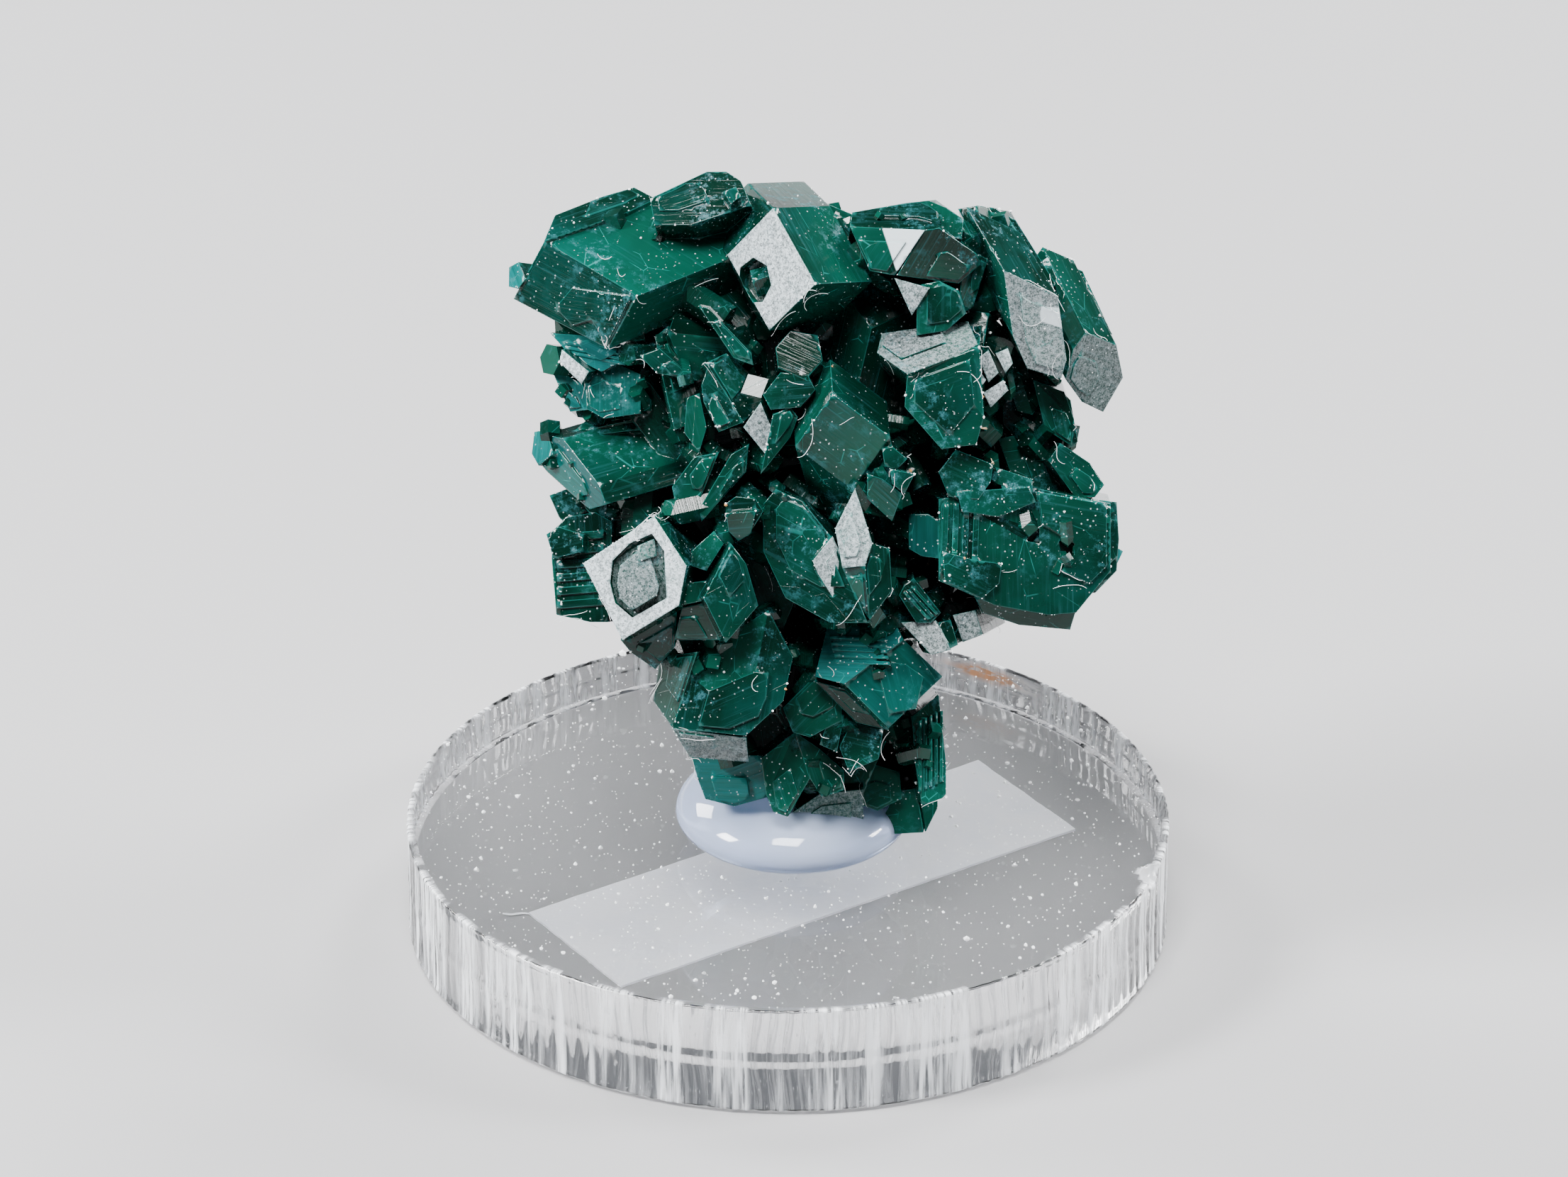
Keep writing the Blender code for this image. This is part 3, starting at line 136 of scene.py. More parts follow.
def seen_place(across, up, near):
    """Point in millimetres from its place across, up and nearer, seen by an eye that looks at the heart."""
    return HEART + ACROSS * across + UPWARD * up + NEARER * near


def seen_direction(direction):
    """Unit vector from its parts across, up and near."""
    across, up, near = direction
    return unit(ACROSS * across + UPWARD * up + NEARER * near)


def unit(vectors):
    """Vectors of length 1 with the same directions."""
    return vectors / np.maximum(np.linalg.norm(vectors, axis=-1, keepdims=True), 1e-9)


def mesh_object(name, places, faces, material, smooth=True):
    """Object from points in millimetres and faces, at the origin, riding on the specimen's body."""
    mesh = bpy.data.meshes.new(name)
    mesh.from_pydata((np.asarray(places) * MM).tolist(), [], faces)
    mesh.polygons.foreach_set("use_smooth", np.full(len(mesh.polygons), smooth))
    mesh.materials.append(material)
    mesh.update()
    piece = bpy.data.objects.new(name, mesh)
    bpy.context.scene.collection.objects.link(piece)
    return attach(piece, "root")


def creased_object(name, places, faces, material, crease=50):
    """Object as above with its faces turned outwards, smooth up to the crease angle in degrees."""
    piece = mesh_object(name, places, faces, material)
    shape = bmesh.new()
    shape.from_mesh(piece.data)
    bmesh.ops.recalc_face_normals(shape, faces=shape.faces)
    shape.to_mesh(piece.data)
    shape.free()
    piece.data.set_sharp_from_angle(angle=math.radians(crease))
    piece.data.update()
    return piece


def point_places(mesh):
    """Points of a mesh in millimetres."""
    places = np.empty(len(mesh.vertices) * 3)
    mesh.vertices.foreach_get("co", places)
    return places.reshape(-1, 3) / MM


def corner_points(mesh):
    """Number of the point at each corner of each face."""
    corners = np.empty(len(mesh.loops), int)
    mesh.loops.foreach_get("vertex_index", corners)
    return corners


def point_values(mesh, name, values, domain="POINT"):
    """Numbers on a mesh for its material to read."""
    layer = mesh.attributes.new(name, "FLOAT", domain)
    layer.data.foreach_set("value", np.asarray(values, np.float32))


def flat_map(mesh, name, places):
    """UV map from one pair of numbers for each corner."""
    layer = mesh.uv_layers.new(name=name)
    layer.uv.foreach_set("vector", np.asarray(places, np.float32).ravel())


def grid_faces(rows, columns, closed=False):
    """Quads of a grid of rows by columns of points; closed columns run back to the first."""
    row, column = np.arange(rows - 1), np.arange(columns if closed else columns - 1)
    r, c = np.meshgrid(row, column, indexing="ij")
    beside = (c + 1) % columns
    here, below = r * columns, (r + 1) * columns
    return np.stack([here + c, here + beside, below + beside, below + c], -1).reshape(-1, 4)


def capped_faces(rings, sides):
    """Quads of rings closed around an axis, with a fan onto a pole before the first ring and after the last.

    The poles are the two points that follow the rings."""
    quads = grid_faces(rings, sides, closed=True).tolist()
    side = np.arange(sides)
    after = (side + 1) % sides
    first = np.stack([after, side, np.full(sides, rings * sides)], -1)
    last = np.stack([side, after, np.full(sides, rings * sides + 1)], -1)
    last[:, :2] += (rings - 1) * sides
    return quads + first.tolist() + last.tolist()


class Value:
    """A shader socket. Arithmetic on it adds Math nodes."""

    def __init__(self, surface, socket):
        self.surface = surface
        self.socket = socket

    def maths(self, operation, *values, clamp=False):
        settings = {"operation": operation, "use_clamp": clamp}
        return self.surface.add("ShaderNodeMath", settings, dict(enumerate(values)))

    def __add__(self, other):
        return self.maths("ADD", self, other)

    __radd__ = __add__

    def __mul__(self, other):
        return self.maths("MULTIPLY", self, other)

    __rmul__ = __mul__

    def __sub__(self, other):
        return self.maths("SUBTRACT", self, other)

    def __rsub__(self, other):
        return self.maths("SUBTRACT", other, self)

    def limited(self):
        return self.maths("ADD", self, 0.0, clamp=True)

    def ramp(self, low, high):
        """0 at low and 1 at high, smooth between; low may be the larger."""
        return self.surface.add("ShaderNodeMapRange", {"interpolation_type": "SMOOTHSTEP"},
                                {0: self, 1: low, 2: high, 3: 0.0, 4: 1.0})


class Surface:
    """One material and the only way its nodes are added."""

    def __init__(self, name):
        self.material = bpy.data.materials.new(name)
        self.material.use_nodes = True
        self.tree = self.material.node_tree
        self.tree.nodes.clear()

    def add(self, kind, settings=None, values=None, out=0):
        """Node of a kind, with its settings first and then the values or links of its sockets."""
        node = self.tree.nodes.new(kind)
        for name, value in (settings or {}).items():
            setattr(node, name, value)
        for key, value in (values or {}).items():
            if isinstance(value, Value):
                self.tree.links.new(value.socket, node.inputs[key])
            else:
                node.inputs[key].default_value = value
        return Value(self, node.outputs[out])

    def mix(self, share, first, second):
        """Colour between two colours."""
        return self.add("ShaderNodeMix", {"data_type": "RGBA"}, {0: share, 6: first, 7: second}, out=2)

    def stretched(self, place, scale):
        """Coordinates multiplied by three numbers."""
        return self.add("ShaderNodeVectorMath", {"operation": "MULTIPLY"}, {0: place, 1: scale})

    def noise(self, place, scale, detail=2.0, roughness=0.5):
        return self.add("ShaderNodeTexNoise", {}, {"Vector": place, "Scale": scale, "Detail": detail,
                                                   "Roughness": roughness})

    def cells(self, place, scale, feature="F1", out=0):
        values = {"Vector": place, "Scale": scale}
        return self.add("ShaderNodeTexVoronoi", {"feature": feature}, values, out=out)

    def number(self, name):
        """Number that the mesh carries."""
        return self.add("ShaderNodeAttribute", {"attribute_name": name}, out=2)

    def place(self):
        return self.add("ShaderNodeTexCoord", out=3)

    def map(self, name):
        return self.add("ShaderNodeUVMap", {"uv_map": name})

    def bump(self, height, depth, strength=1.0, under=None):
        values = {"Height": height, "Distance": depth, "Strength": strength}
        if under is not None:
            values["Normal"] = under
        return self.add("ShaderNodeBump", {}, values)

    def principled(self, **sockets):
        """Principled shader with the named sockets."""
        values = {name.replace("_", " "): value for name, value in sockets.items()}
        return self.add("ShaderNodeBsdfPrincipled", {}, values)

    def output(self, shader, volume=None):
        """Put a shader onto the output, and a volume where there is one."""
        end = self.tree.nodes.new("ShaderNodeOutputMaterial")
        self.tree.links.new(shader.socket, end.inputs["Surface"])
        if volume is not None:
            self.tree.links.new(volume.socket, end.inputs["Volume"])
        return self.material

    def finish(self, volume=None, **sockets):
        return self.output(self.principled(**sockets), volume)


def rgb(colour):
    return (*colour, 1.0)


def dioptase_surface(settings):
    """Deep green glassy crystal: striae, growth steps, etched faces with painted glints, teal faces, and
    painted reflection, shade, glow, sheen and edge highlights.
    """
    s = Surface("dioptase")
    flat = s.map("face_mm")
    place = s.place()
    tone_and_glow = s.number("tone_and_glow")
    etched_and_glint = s.number("etched_and_glint")
    teal = s.number("teal")
    painted_reflection = s.number("painted_reflection").ramp(-0.03, 0.03)
    rim = s.number("rim")
    free = s.number("openness")
    drift = s.noise(s.stretched(flat, (0.5, 1.0, 1.0)), 0.8, 2.0)
    striae = s.noise(s.stretched(flat, (0.22, 6.5, 1.0)), 1.0, 3.0, 0.62)
    fine_striae = s.noise(s.stretched(flat, (0.4, 17.0, 1.0)), 1.0, 2.0, 0.5)
    in_plates = s.stretched(flat, (0.55, 0.9, 1.0))
    plates = s.cells(in_plates, 1.0, "F1", 1)
    plate_edges = s.cells(in_plates, 1.0, "DISTANCE_TO_EDGE")
    lines = striae * 0.7 + fine_striae * 0.3
    streaks = lines.ramp(0.50, 0.66) * drift.ramp(0.35, 0.65)
    veil = s.noise(place, 1900.0, 4.0, 0.78).ramp(0.49, 0.68)
    frost = veil * s.noise(place, 360.0, 2.0).ramp(0.45, 0.65)
    outlines = plate_edges.ramp(0.014, 0.004) * s.noise(flat, 0.9, 2.0).ramp(0.48, 0.6) * tone_and_glow.ramp(0.3, 0.8)
    # painted glints: fine bright speckle for light off the etched faces
    painted_glints = s.noise(place, 16000.0, 1.0, 0.8).ramp(0.40, 0.58)
    specks = s.cells(place, 4200.0).ramp(0.17, 0.09) * s.noise(place, 420.0, 2.0).ramp(0.36, 0.64)
    cloud = s.noise(place, 300.0, 3.0, 0.6)
    deep = s.mix(cloud.ramp(0.35, 0.65), rgb(settings.green_dark), rgb(settings.green))
    # lighter with the chance tone and the painted glow
    body = s.mix(tone_and_glow.ramp(0.15, 1.4), deep, rgb(settings.green_light))
    body = s.mix(free.ramp(0.45, 0.0) * 0.7, body, rgb(settings.shadow))
    # painted teal sheen on the faces most open to the room
    body = s.mix((free.ramp(0.55, 1.0) * cloud.ramp(0.42, 0.62) * 0.12).limited(), body, rgb(settings.teal))
    body = s.mix((frost * 0.5 + streaks * 0.14).limited(), body, rgb(settings.frost))
    body = s.mix((teal * (lines * 1.5 - 0.15)).limited(), body, rgb(settings.teal))
    body = s.mix((outlines * 0.5).limited(), body, rgb(settings.edge))
    # etched faces: real frosting plus painted glints in the pale colour
    grain = painted_glints * 0.35 + s.noise(place, 6500.0, 2.0, 0.8).ramp(0.42, 0.58) * 0.45
    body = s.mix((etched_and_glint * (grain + etched_and_glint * 0.25)).limited(), body, rgb(settings.etched_and_glint))
    # patches of painted reflection in the pale colour
    body = s.mix(painted_reflection * 0.9, body, rgb(settings.etched_and_glint))
    body = s.mix(specks * 0.65, body, rgb(settings.etched_and_glint))
    # painted highlight along sharp outward edges
    body = s.mix(rim.ramp(0.15, 1.0) * 0.30, body, rgb(settings.edge))
    rough = (0.05 + lines * 0.08 + etched_and_glint * 0.3 + frost * 0.3 + teal * 0.1 - painted_reflection * 0.1).limited()
    relief = s.bump(plates, 0.00002, 0.5)
    relief = s.bump(lines, 0.000014, 0.7, relief)
    relief = s.bump(s.noise(place, 9000.0, 1.0, 0.7) * etched_and_glint, 0.000012, 0.8, relief)
    depth = s.add("ShaderNodeVolumeAbsorption", {}, {"Color": rgb(settings.glow), "Density": 1800.0})
    return s.finish(volume=depth, Base_Color=body, Roughness=rough, Normal=relief, Transmission_Weight=0.12,
                    IOR=1.67, Specular_IOR_Level=0.12)


def gel_surface(settings):
    """Glossy milky silicone."""
    s = Surface("mounting_gel")
    cloud = s.noise(s.place(), 220.0, 3.0)
    milk = s.mix(cloud, rgb(settings.gel), rgb(settings.gel_light))
    return s.finish(Base_Color=milk, Roughness=0.03, Transmission_Weight=0.62, IOR=1.41)


def acrylic_surface(settings):
    """Clear acrylic. Its laser-cut wall has white frosted streaks, a brown stain and a frosted chip."""
    s = Surface("clear_acrylic")
    wall = s.map("wall_mm")
    onwall = s.number("wall")
    chip = s.number("chip")
    fine = s.noise(s.stretched(wall, (4.2, 0.22, 1.0)), 1.0, 2.0, 0.65)
    bands = s.noise(s.stretched(wall, (0.75, 0.05, 1.0)), 1.0, 2.0, 0.6)
    ripples = s.noise(s.stretched(wall, (1.1, 0.1, 1.0)), 1.0, 1.0)
    blot = s.noise(s.stretched(wall, (1.2, 1.6, 1.0)), 1.0, 2.0, 0.7)
    stain = (s.number("stain") * blot.ramp(0.3, 0.55) * 1.6).limited()
    frosted = onwall * bands.ramp(0.44, 0.60) * fine.ramp(0.36, 0.58)
    share = (frosted * 0.72 + stain * 0.7 + chip * 0.4).limited()
    relief = s.bump(ripples * onwall, 0.00012, 0.8)
    clear = s.principled(Base_Color=rgb(settings.acrylic), Roughness=0.02 + onwall * fine * 0.12,
                         Normal=relief, Transmission_Weight=1.0, IOR=1.49)
    frost = s.principled(Base_Color=s.mix(stain, rgb(settings.streak), rgb(settings.stain)), Roughness=0.5,
                         Normal=relief)
    return s.output(s.add("ShaderNodeMixShader", {}, {0: share, 1: clear, 2: frost}))


def paper_surface(settings):
    """Uncoated white paper with fibres and faint blotches where it touches the acrylic."""
    s = Surface("label_paper")
    place = s.place()
    fibres = s.noise(s.stretched(place, (1.0, 2.2, 1.0)), 2600.0, 4.0, 0.7)
    blotches = s.noise(place, 420.0, 3.0, 0.6).ramp(0.42, 0.62)
    paper = s.mix(blotches * 0.5 + fibres * 0.3, rgb(settings.paper), rgb(settings.paper_shade))
    relief = s.bump(fibres, 0.00002, 0.6)
    return s.finish(Base_Color=paper, Roughness=0.85, Normal=relief)


def fluff_surface(name, colour, shade):
    """Lint or dust: matt, a little uneven in colour."""
    s = Surface(name)
    uneven = s.noise(s.place(), 1500.0, 2.0)
    return s.finish(Base_Color=s.mix(uneven, rgb(colour), rgb(shade)), Roughness=0.8)


def flat_faces(source):
    """Points in millimetres, loops and normals of a CAD node's flat faces, their triangles joined."""
    shape = bmesh.new()
    shape.from_mesh(source.data)
    bmesh.ops.remove_doubles(shape, verts=shape.verts, dist=2e-6)
    bmesh.ops.dissolve_degenerate(shape, dist=2e-6, edges=shape.edges)
    bmesh.ops.dissolve_limit(shape, angle_limit=math.radians(0.8), verts=shape.verts, edges=shape.edges)
    bmesh.ops.recalc_face_normals(shape, faces=shape.faces)
    shape.verts.index_update()
    places = np.array([v.co for v in shape.verts]) / MM
    loops = [[v.index for v in f.verts] for f in shape.faces]
    normals = np.array([f.normal for f in shape.faces])
    shape.free()
    return places, loops, normals


def reach_to_outline(points, outline):
    """Distance of points to the nearest side of a closed outline, and whether each is inside it.

    The distance is to the foot of the perpendicular, held between the side's ends. A point is inside when a
    ray from it crosses the sides an odd number of times."""
    start, end = outline, np.roll(outline, -1, 0)
    side = end - start
    from_start = points[:, None] - start[None]
    along = np.clip((from_start * side).sum(-1) / np.maximum((side ** 2).sum(-1), 1e-12), 0, 1)
    reach = np.linalg.norm(from_start - along[..., None] * side, axis=-1).min(1)
    above = start[None, :, 1] > points[:, None, 1]
    crosses = above != (end[None, :, 1] > points[:, None, 1])
    rise = np.where(np.abs(side[:, 1]) < 1e-12, 1e-12, side[:, 1])
    meet = start[None, :, 0] + (points[:, None, 1] - start[None, :, 1]) * side[:, 0] / rise
    inside = (crosses & (points[:, None, 0] < meet)).sum(1) % 2 == 1
    return reach, inside


def face_interior(outline, step, rim):
    """Points inside a flat outline: a ring at rim from its sides, then a triangular grid of pitch step."""
    following, before = np.roll(outline, -1, 0), np.roll(outline, 1, 0)
    ahead = following - before
    inward = unit(np.stack([-ahead[:, 1], ahead[:, 0]], 1))
    ring = outline + inward * rim
    low, high = outline.min(0), outline.max(0)
    across, up = np.meshgrid(np.arange(low[0], high[0], step), np.arange(low[1], high[1], step * 0.866))
    across = across + (np.arange(across.shape[0]) % 2 * step / 2)[:, None]
    grid = np.stack([across.ravel(), up.ravel()], 1)
    found = []
    for points, least in ((ring, rim * 0.8), (grid, rim + step * 0.35)):
        if len(points):
            reach, inside = reach_to_outline(points, outline)
            found.append(points[inside & (reach > least)])
    return np.concatenate(found)


def faceted_skin(places, loops, normals, step, rim, side_step):
    """Fine mesh of a solid with flat faces.

    Every edge is cut at even steps, every face gets a ring of points just inside its sides and a triangular
    grid further in, and the points of each face are joined by a constrained Delaunay triangulation. A point
    inside a face keeps the face's own normal, and a point on an edge the mean of its faces' normals, so that
    the edge is rounded over the width of the ring.

    The result is points, triangles, the face of each triangle, normals of the points, and for points on an
    edge how sharply it bends, above 0 where it stands out and below 0 in a valley."""
    edges = {}
    for face, loop in enumerate(loops):
        for a, b in zip(loop, loop[1:] + loop[:1]):
            edges.setdefault((min(a, b), max(a, b)), []).append(face)
    next_free = len(places)
    cuts = {}
    extra = []
    middles = np.array([places[loop].mean(0) for loop in loops])
    rims = {}
    for (a, b), faces in edges.items():
        count = int(np.linalg.norm(places[b] - places[a]) // side_step)
        shares = np.arange(1, count + 1)[:, None] / (count + 1)
        extra.append(places[a] + (places[b] - places[a]) * shares)
        cuts[a, b] = list(range(next_free, next_free + count))
        next_free += count
        bend = 0.0
        if len(faces) == 2:
            one, two = faces
            sharp = 1 - float(normals[one] @ normals[two])
            bulge = float((middles[two] - middles[one]) @ normals[one])
            bend = math.copysign(min(1.0, sharp * 1.5), -bulge)
        for index in [a, b] + cuts[a, b]:
            if abs(bend) > abs(rims.get(index, 0.0)):
                rims[index] = bend
    extra = [places] + extra
    known = np.concatenate(extra)
    triangles, owners = [], []
    for face, loop in enumerate(loops):
        ids = []
        for a, b in zip(loop, loop[1:] + loop[:1]):
            inner = cuts[min(a, b), max(a, b)]
            ids += [a] + (inner if a < b else inner[::-1])
        normal = Vector(normals[face])
        sideways = np.array(normal.orthogonal().normalized())
        upward = np.cross(normals[face], sideways)
        corner = known[ids[0]]
        outline = (known[ids] - corner) @ np.stack([sideways, upward], 1)
        inner = face_interior(outline, step, rim)
        flat = np.concatenate([outline, inner])
        made = delaunay_2d_cdt([Vector(p) for p in flat.tolist()], [], [list(range(len(ids)))], 1, 1e-7, True)
        points, _, faces, origins, _, sources = made
        index = np.empty(len(points), int)
        new = []
        for number, origin in enumerate(origins):
            first = min(origin) if origin else -1
            if 0 <= first < len(ids):
                index[number] = ids[first]
            else:
                index[number] = next_free + len(new)
                new.append(points[number])
        next_free += len(new)
        if new:
            spot = np.array(new)
            extra.append(corner + spot[:, :1] * sideways + spot[:, 1:2] * upward)
        kept = [index[list(f)] for f, source in zip(faces, sources) if source]
        triangles += kept
        owners += [face] * len(kept)
    every = np.concatenate(extra)
    triangles, owners = np.array(triangles), np.array(owners)
    same = (triangles[:, 0] == triangles[:, 1]) | (triangles[:, 1] == triangles[:, 2])
    same |= triangles[:, 0] == triangles[:, 2]
    triangles, owners = triangles[~same], owners[~same]
    vertex_normals = np.zeros_like(every)
    for corner in range(3):
        np.add.at(vertex_normals, triangles[:, corner], normals[owners])
    vertex_normals = unit(vertex_normals)
    rim_values = np.zeros(len(every))
    rim_values[list(rims)] = list(rims.values())
    return every, triangles, owners, vertex_normals, rim_values


def marked_faces(rows, middles, normals):
    """For every face, the strength of the last row whose middle, way and reach it answers to, or nothing."""
    marks = np.zeros(len(middles))
    for middle, looks, reach, strength in rows:
        way = seen_direction(looks)
        away = middles - seen_place(*middle)
        off_plane = np.abs(away @ way)
        near = (np.linalg.norm(away, axis=1) < reach) & (off_plane < 0.15) & (normals @ way > 0.985)
        marks[near] = strength
    return marks


def face_directions(places, loops, normals):
    """Two directions in each face, the first along its longest side."""
    along = []
    for loop in loops:
        ring = places[loop]
        sides = np.roll(ring, -1, 0) - ring
        along.append(sides[np.argmax((sides ** 2).sum(1))])
    along = np.array(along)
    along = unit(along - normals * (along * normals).sum(1, keepdims=True))
    return along, np.cross(normals, along)


def ring_grid(profile, sides, reach):
    """Points of rings around the upright axis, with the profile's radii and heights as changed by reach."""
    angle = np.linspace(0, math.tau, sides, endpoint=False)
    radius, height = profile[:, :1] + 0 * angle, profile[:, 1:] + 0 * angle
    radius, height = reach(radius, height, angle[None] + 0 * radius)
    return np.stack([radius * np.cos(angle), radius * np.sin(angle), height], -1)


def rounded(share):
    """Smooth rise from 0 to 1."""
    share = np.clip(share, 0, 1)
    return share * share * (3 - 2 * share)


def colour_setting(name, description, default):
    return bpy.props.FloatVectorProperty(name=name, description=description, subtype="COLOR", default=default)


def length_setting(name, description, default, least=0.0):
    return bpy.props.FloatProperty(name=name, description=description, default=default, min=least,
                                   unit="LENGTH")


def angle_setting(name, description, default):
    return bpy.props.FloatProperty(name=name, description=description, default=math.radians(default),
                                   subtype="ANGLE", unit="ROTATION")


def amount_setting(name, description, default, least=0):
    return bpy.props.IntProperty(name=name, description=description, default=default, min=least)


class CrystalSettings(bpy.types.PropertyGroup):
    mesh_step: length_setting("Mesh step", "Pitch of the points inside a face", 0.3 * MM, 0.1 * MM)
    edge_round: length_setting("Edge rounding", "Width over which an edge is rounded", 0.045 * MM, 0.01 * MM)
    small_count: amount_setting("Small crystals", "Number of small crystals in the valleys", 260)
    filler_count: amount_setting("Half-hidden crystals", "Number of larger ones between the others", 420)
    green: colour_setting("Green", "Colour of a crystal's body", (0.0002, 0.015, 0.0085))
    green_dark: colour_setting("Dark green", "Colour of the deepest parts", (0.0001, 0.0090, 0.0052))
    green_light: colour_setting("Light green", "Colour of the palest faces", (0.0006, 0.056, 0.036))
    shadow: colour_setting("Shadow", "Colour deep between the crystals", (0.0001, 0.0045, 0.0032))
    teal: colour_setting("Teal", "Colour of the thin and striated faces", (0.002, 0.125, 0.130))
    frost: colour_setting("Frost", "Colour of the frosted patches", (0.040, 0.18, 0.21))
    # Pale colour of the etched frost, also of the painted glints and painted reflections, and of the dust
    # specks
    etched_and_glint: colour_setting("Etched", "Colour of the silvery etched faces", (0.62, 0.70, 0.74))
    # Colour of the growth-plate outlines and of the painted highlight on sharp edges
    edge: colour_setting("Edge", "Colour of a sharp edge", (0.02, 0.22, 0.20))
    glow: colour_setting("Glow", "Colour of light that passes through a thin crystal", (0.02, 0.72, 0.56))


class BaseSettings(bpy.types.PropertyGroup):
    ripple_pitch: length_setting("Ripple pitch", "Width of a ripple of the wall", 0.65 * MM, 0.2 * MM)
    ripple_depth: length_setting("Ripple depth", "Depth of the ripples", 0.09 * MM)
    rim_round: length_setting("Rim rounding", "Radius of the disc's edges", 0.1 * MM, 0.01 * MM)
    chip_radius: length_setting("Chip radius", "Radius of the hollow of the chip", 0.95 * MM, 0.1 * MM)
    chip_azimuth: angle_setting("Chip place", "Place of the chip around the rim", -18)
    stain_azimuth: angle_setting("Stain place", "Place of the stain around the wall", 57)
    acrylic: colour_setting("Acrylic", "Colour of the acrylic", (0.985, 0.99, 1.0))
    streak: colour_setting("Streaks", "Colour of the frosted streaks of the wall", (0.93, 0.96, 1.0))
    stain: colour_setting("Stain", "Colour of the stain", (0.44, 0.18, 0.055))


class SoftSettings(bpy.types.PropertyGroup):
    gel: colour_setting("Gel", "Colour of the mounting gel", (0.50, 0.62, 0.93))
    gel_light: colour_setting("Gel haze", "Colour of the haze in the gel", (0.70, 0.79, 0.98))
    paper: colour_setting("Paper", "Colour of the label", (0.96, 0.97, 1.0))
    paper_shade: colour_setting("Paper shade", "Colour of the label's blotches", (0.88, 0.91, 0.97))


class DustSettings(bpy.types.PropertyGroup):
    fibres: amount_setting("Fibres", "Number of lint fibres", 170, 1)
    fibre_width: length_setting("Fibre width", "Thickness of a fibre", 0.022 * MM, 0.01 * MM)
    cluster_grains: amount_setting("Grains on crystals", "Dust grains on the crystals", 2600)
    disc_grains: amount_setting("Grains on base", "Dust grains on the base", 2200)
    white: colour_setting("Dust", "Colour of lint and dust", (0.85, 0.87, 0.88))
    brown: colour_setting("Brown fibre", "Colour of the odd brown fibre and crumb", (0.60, 0.26, 0.08))


class StageSettings(bpy.types.PropertyGroup):
    floor: colour_setting("Floor", "Colour of the floor", (0.31, 0.31, 0.315))
    camera_distance: length_setting("Camera distance", "From the lens to its target", 0.320, 0.05)
    camera_elevation: angle_setting("Camera elevation", "Angle above the horizon", 28.09)
    lens: bpy.props.FloatProperty(name="Lens", description="Focal length", default=177.8, min=1.0,
                                  subtype="DISTANCE_CAMERA")


class Crowding:
    """How much surface lies around a place, from the areas of the cluster's triangles.

    The areas are added up in boxes of 0.5 mm and spread by a bell curve: their transform is multiplied by the
    bell's, and turned back."""

    PITCH = 0.5
    MARGIN = 6
    BELL = 1.1
    AHEAD = 1.3

    def __init__(self, corners):
        self.low = corners.reshape(-1, 3).min(0) - self.MARGIN
        high = corners.reshape(-1, 3).max(0) + self.MARGIN
        shape = np.ceil((high - self.low) / self.PITCH).astype(int)
        one, two = corners[:, 1] - corners[:, 0], corners[:, 2] - corners[:, 0]
        areas = np.linalg.norm(np.cross(one, two), axis=1) / 2
        edges = [np.arange(n + 1) * self.PITCH + low for n, low in zip(shape, self.low)]
        amounts, _ = np.histogramdd(corners.mean(1), edges, weights=areas)
        waves = np.meshgrid(*[np.fft.fftfreq(n) for n in shape], indexing="ij")
        bell = np.exp(-2 * (math.pi * self.BELL / self.PITCH) ** 2 * sum(wave ** 2 for wave in waves))
        self.field = np.fft.ifftn(np.fft.fftn(amounts) * bell).real
        self.slope = np.gradient(self.field)

    def at(self, field, places):
        """Value of a field at places, from the box that each lies in."""
        index = np.clip(((places - self.low) / self.PITCH).astype(int), 0, np.array(field.shape) - 1)
        return field[index[:, 0], index[:, 1], index[:, 2]]

    def openness(self, places, normals):
        """1 where nothing lies ahead of a face, and 0 deep between others."""
        ahead = self.at(self.field, places + normals * self.AHEAD)
        return 1 - np.clip(ahead / np.percentile(self.field[self.field > 0.02], 96), 0, 1)

    def way_out(self, places):
        """Unit vectors towards the emptier side."""
        return unit(-np.stack([self.at(slope, places) for slope in self.slope], 1))


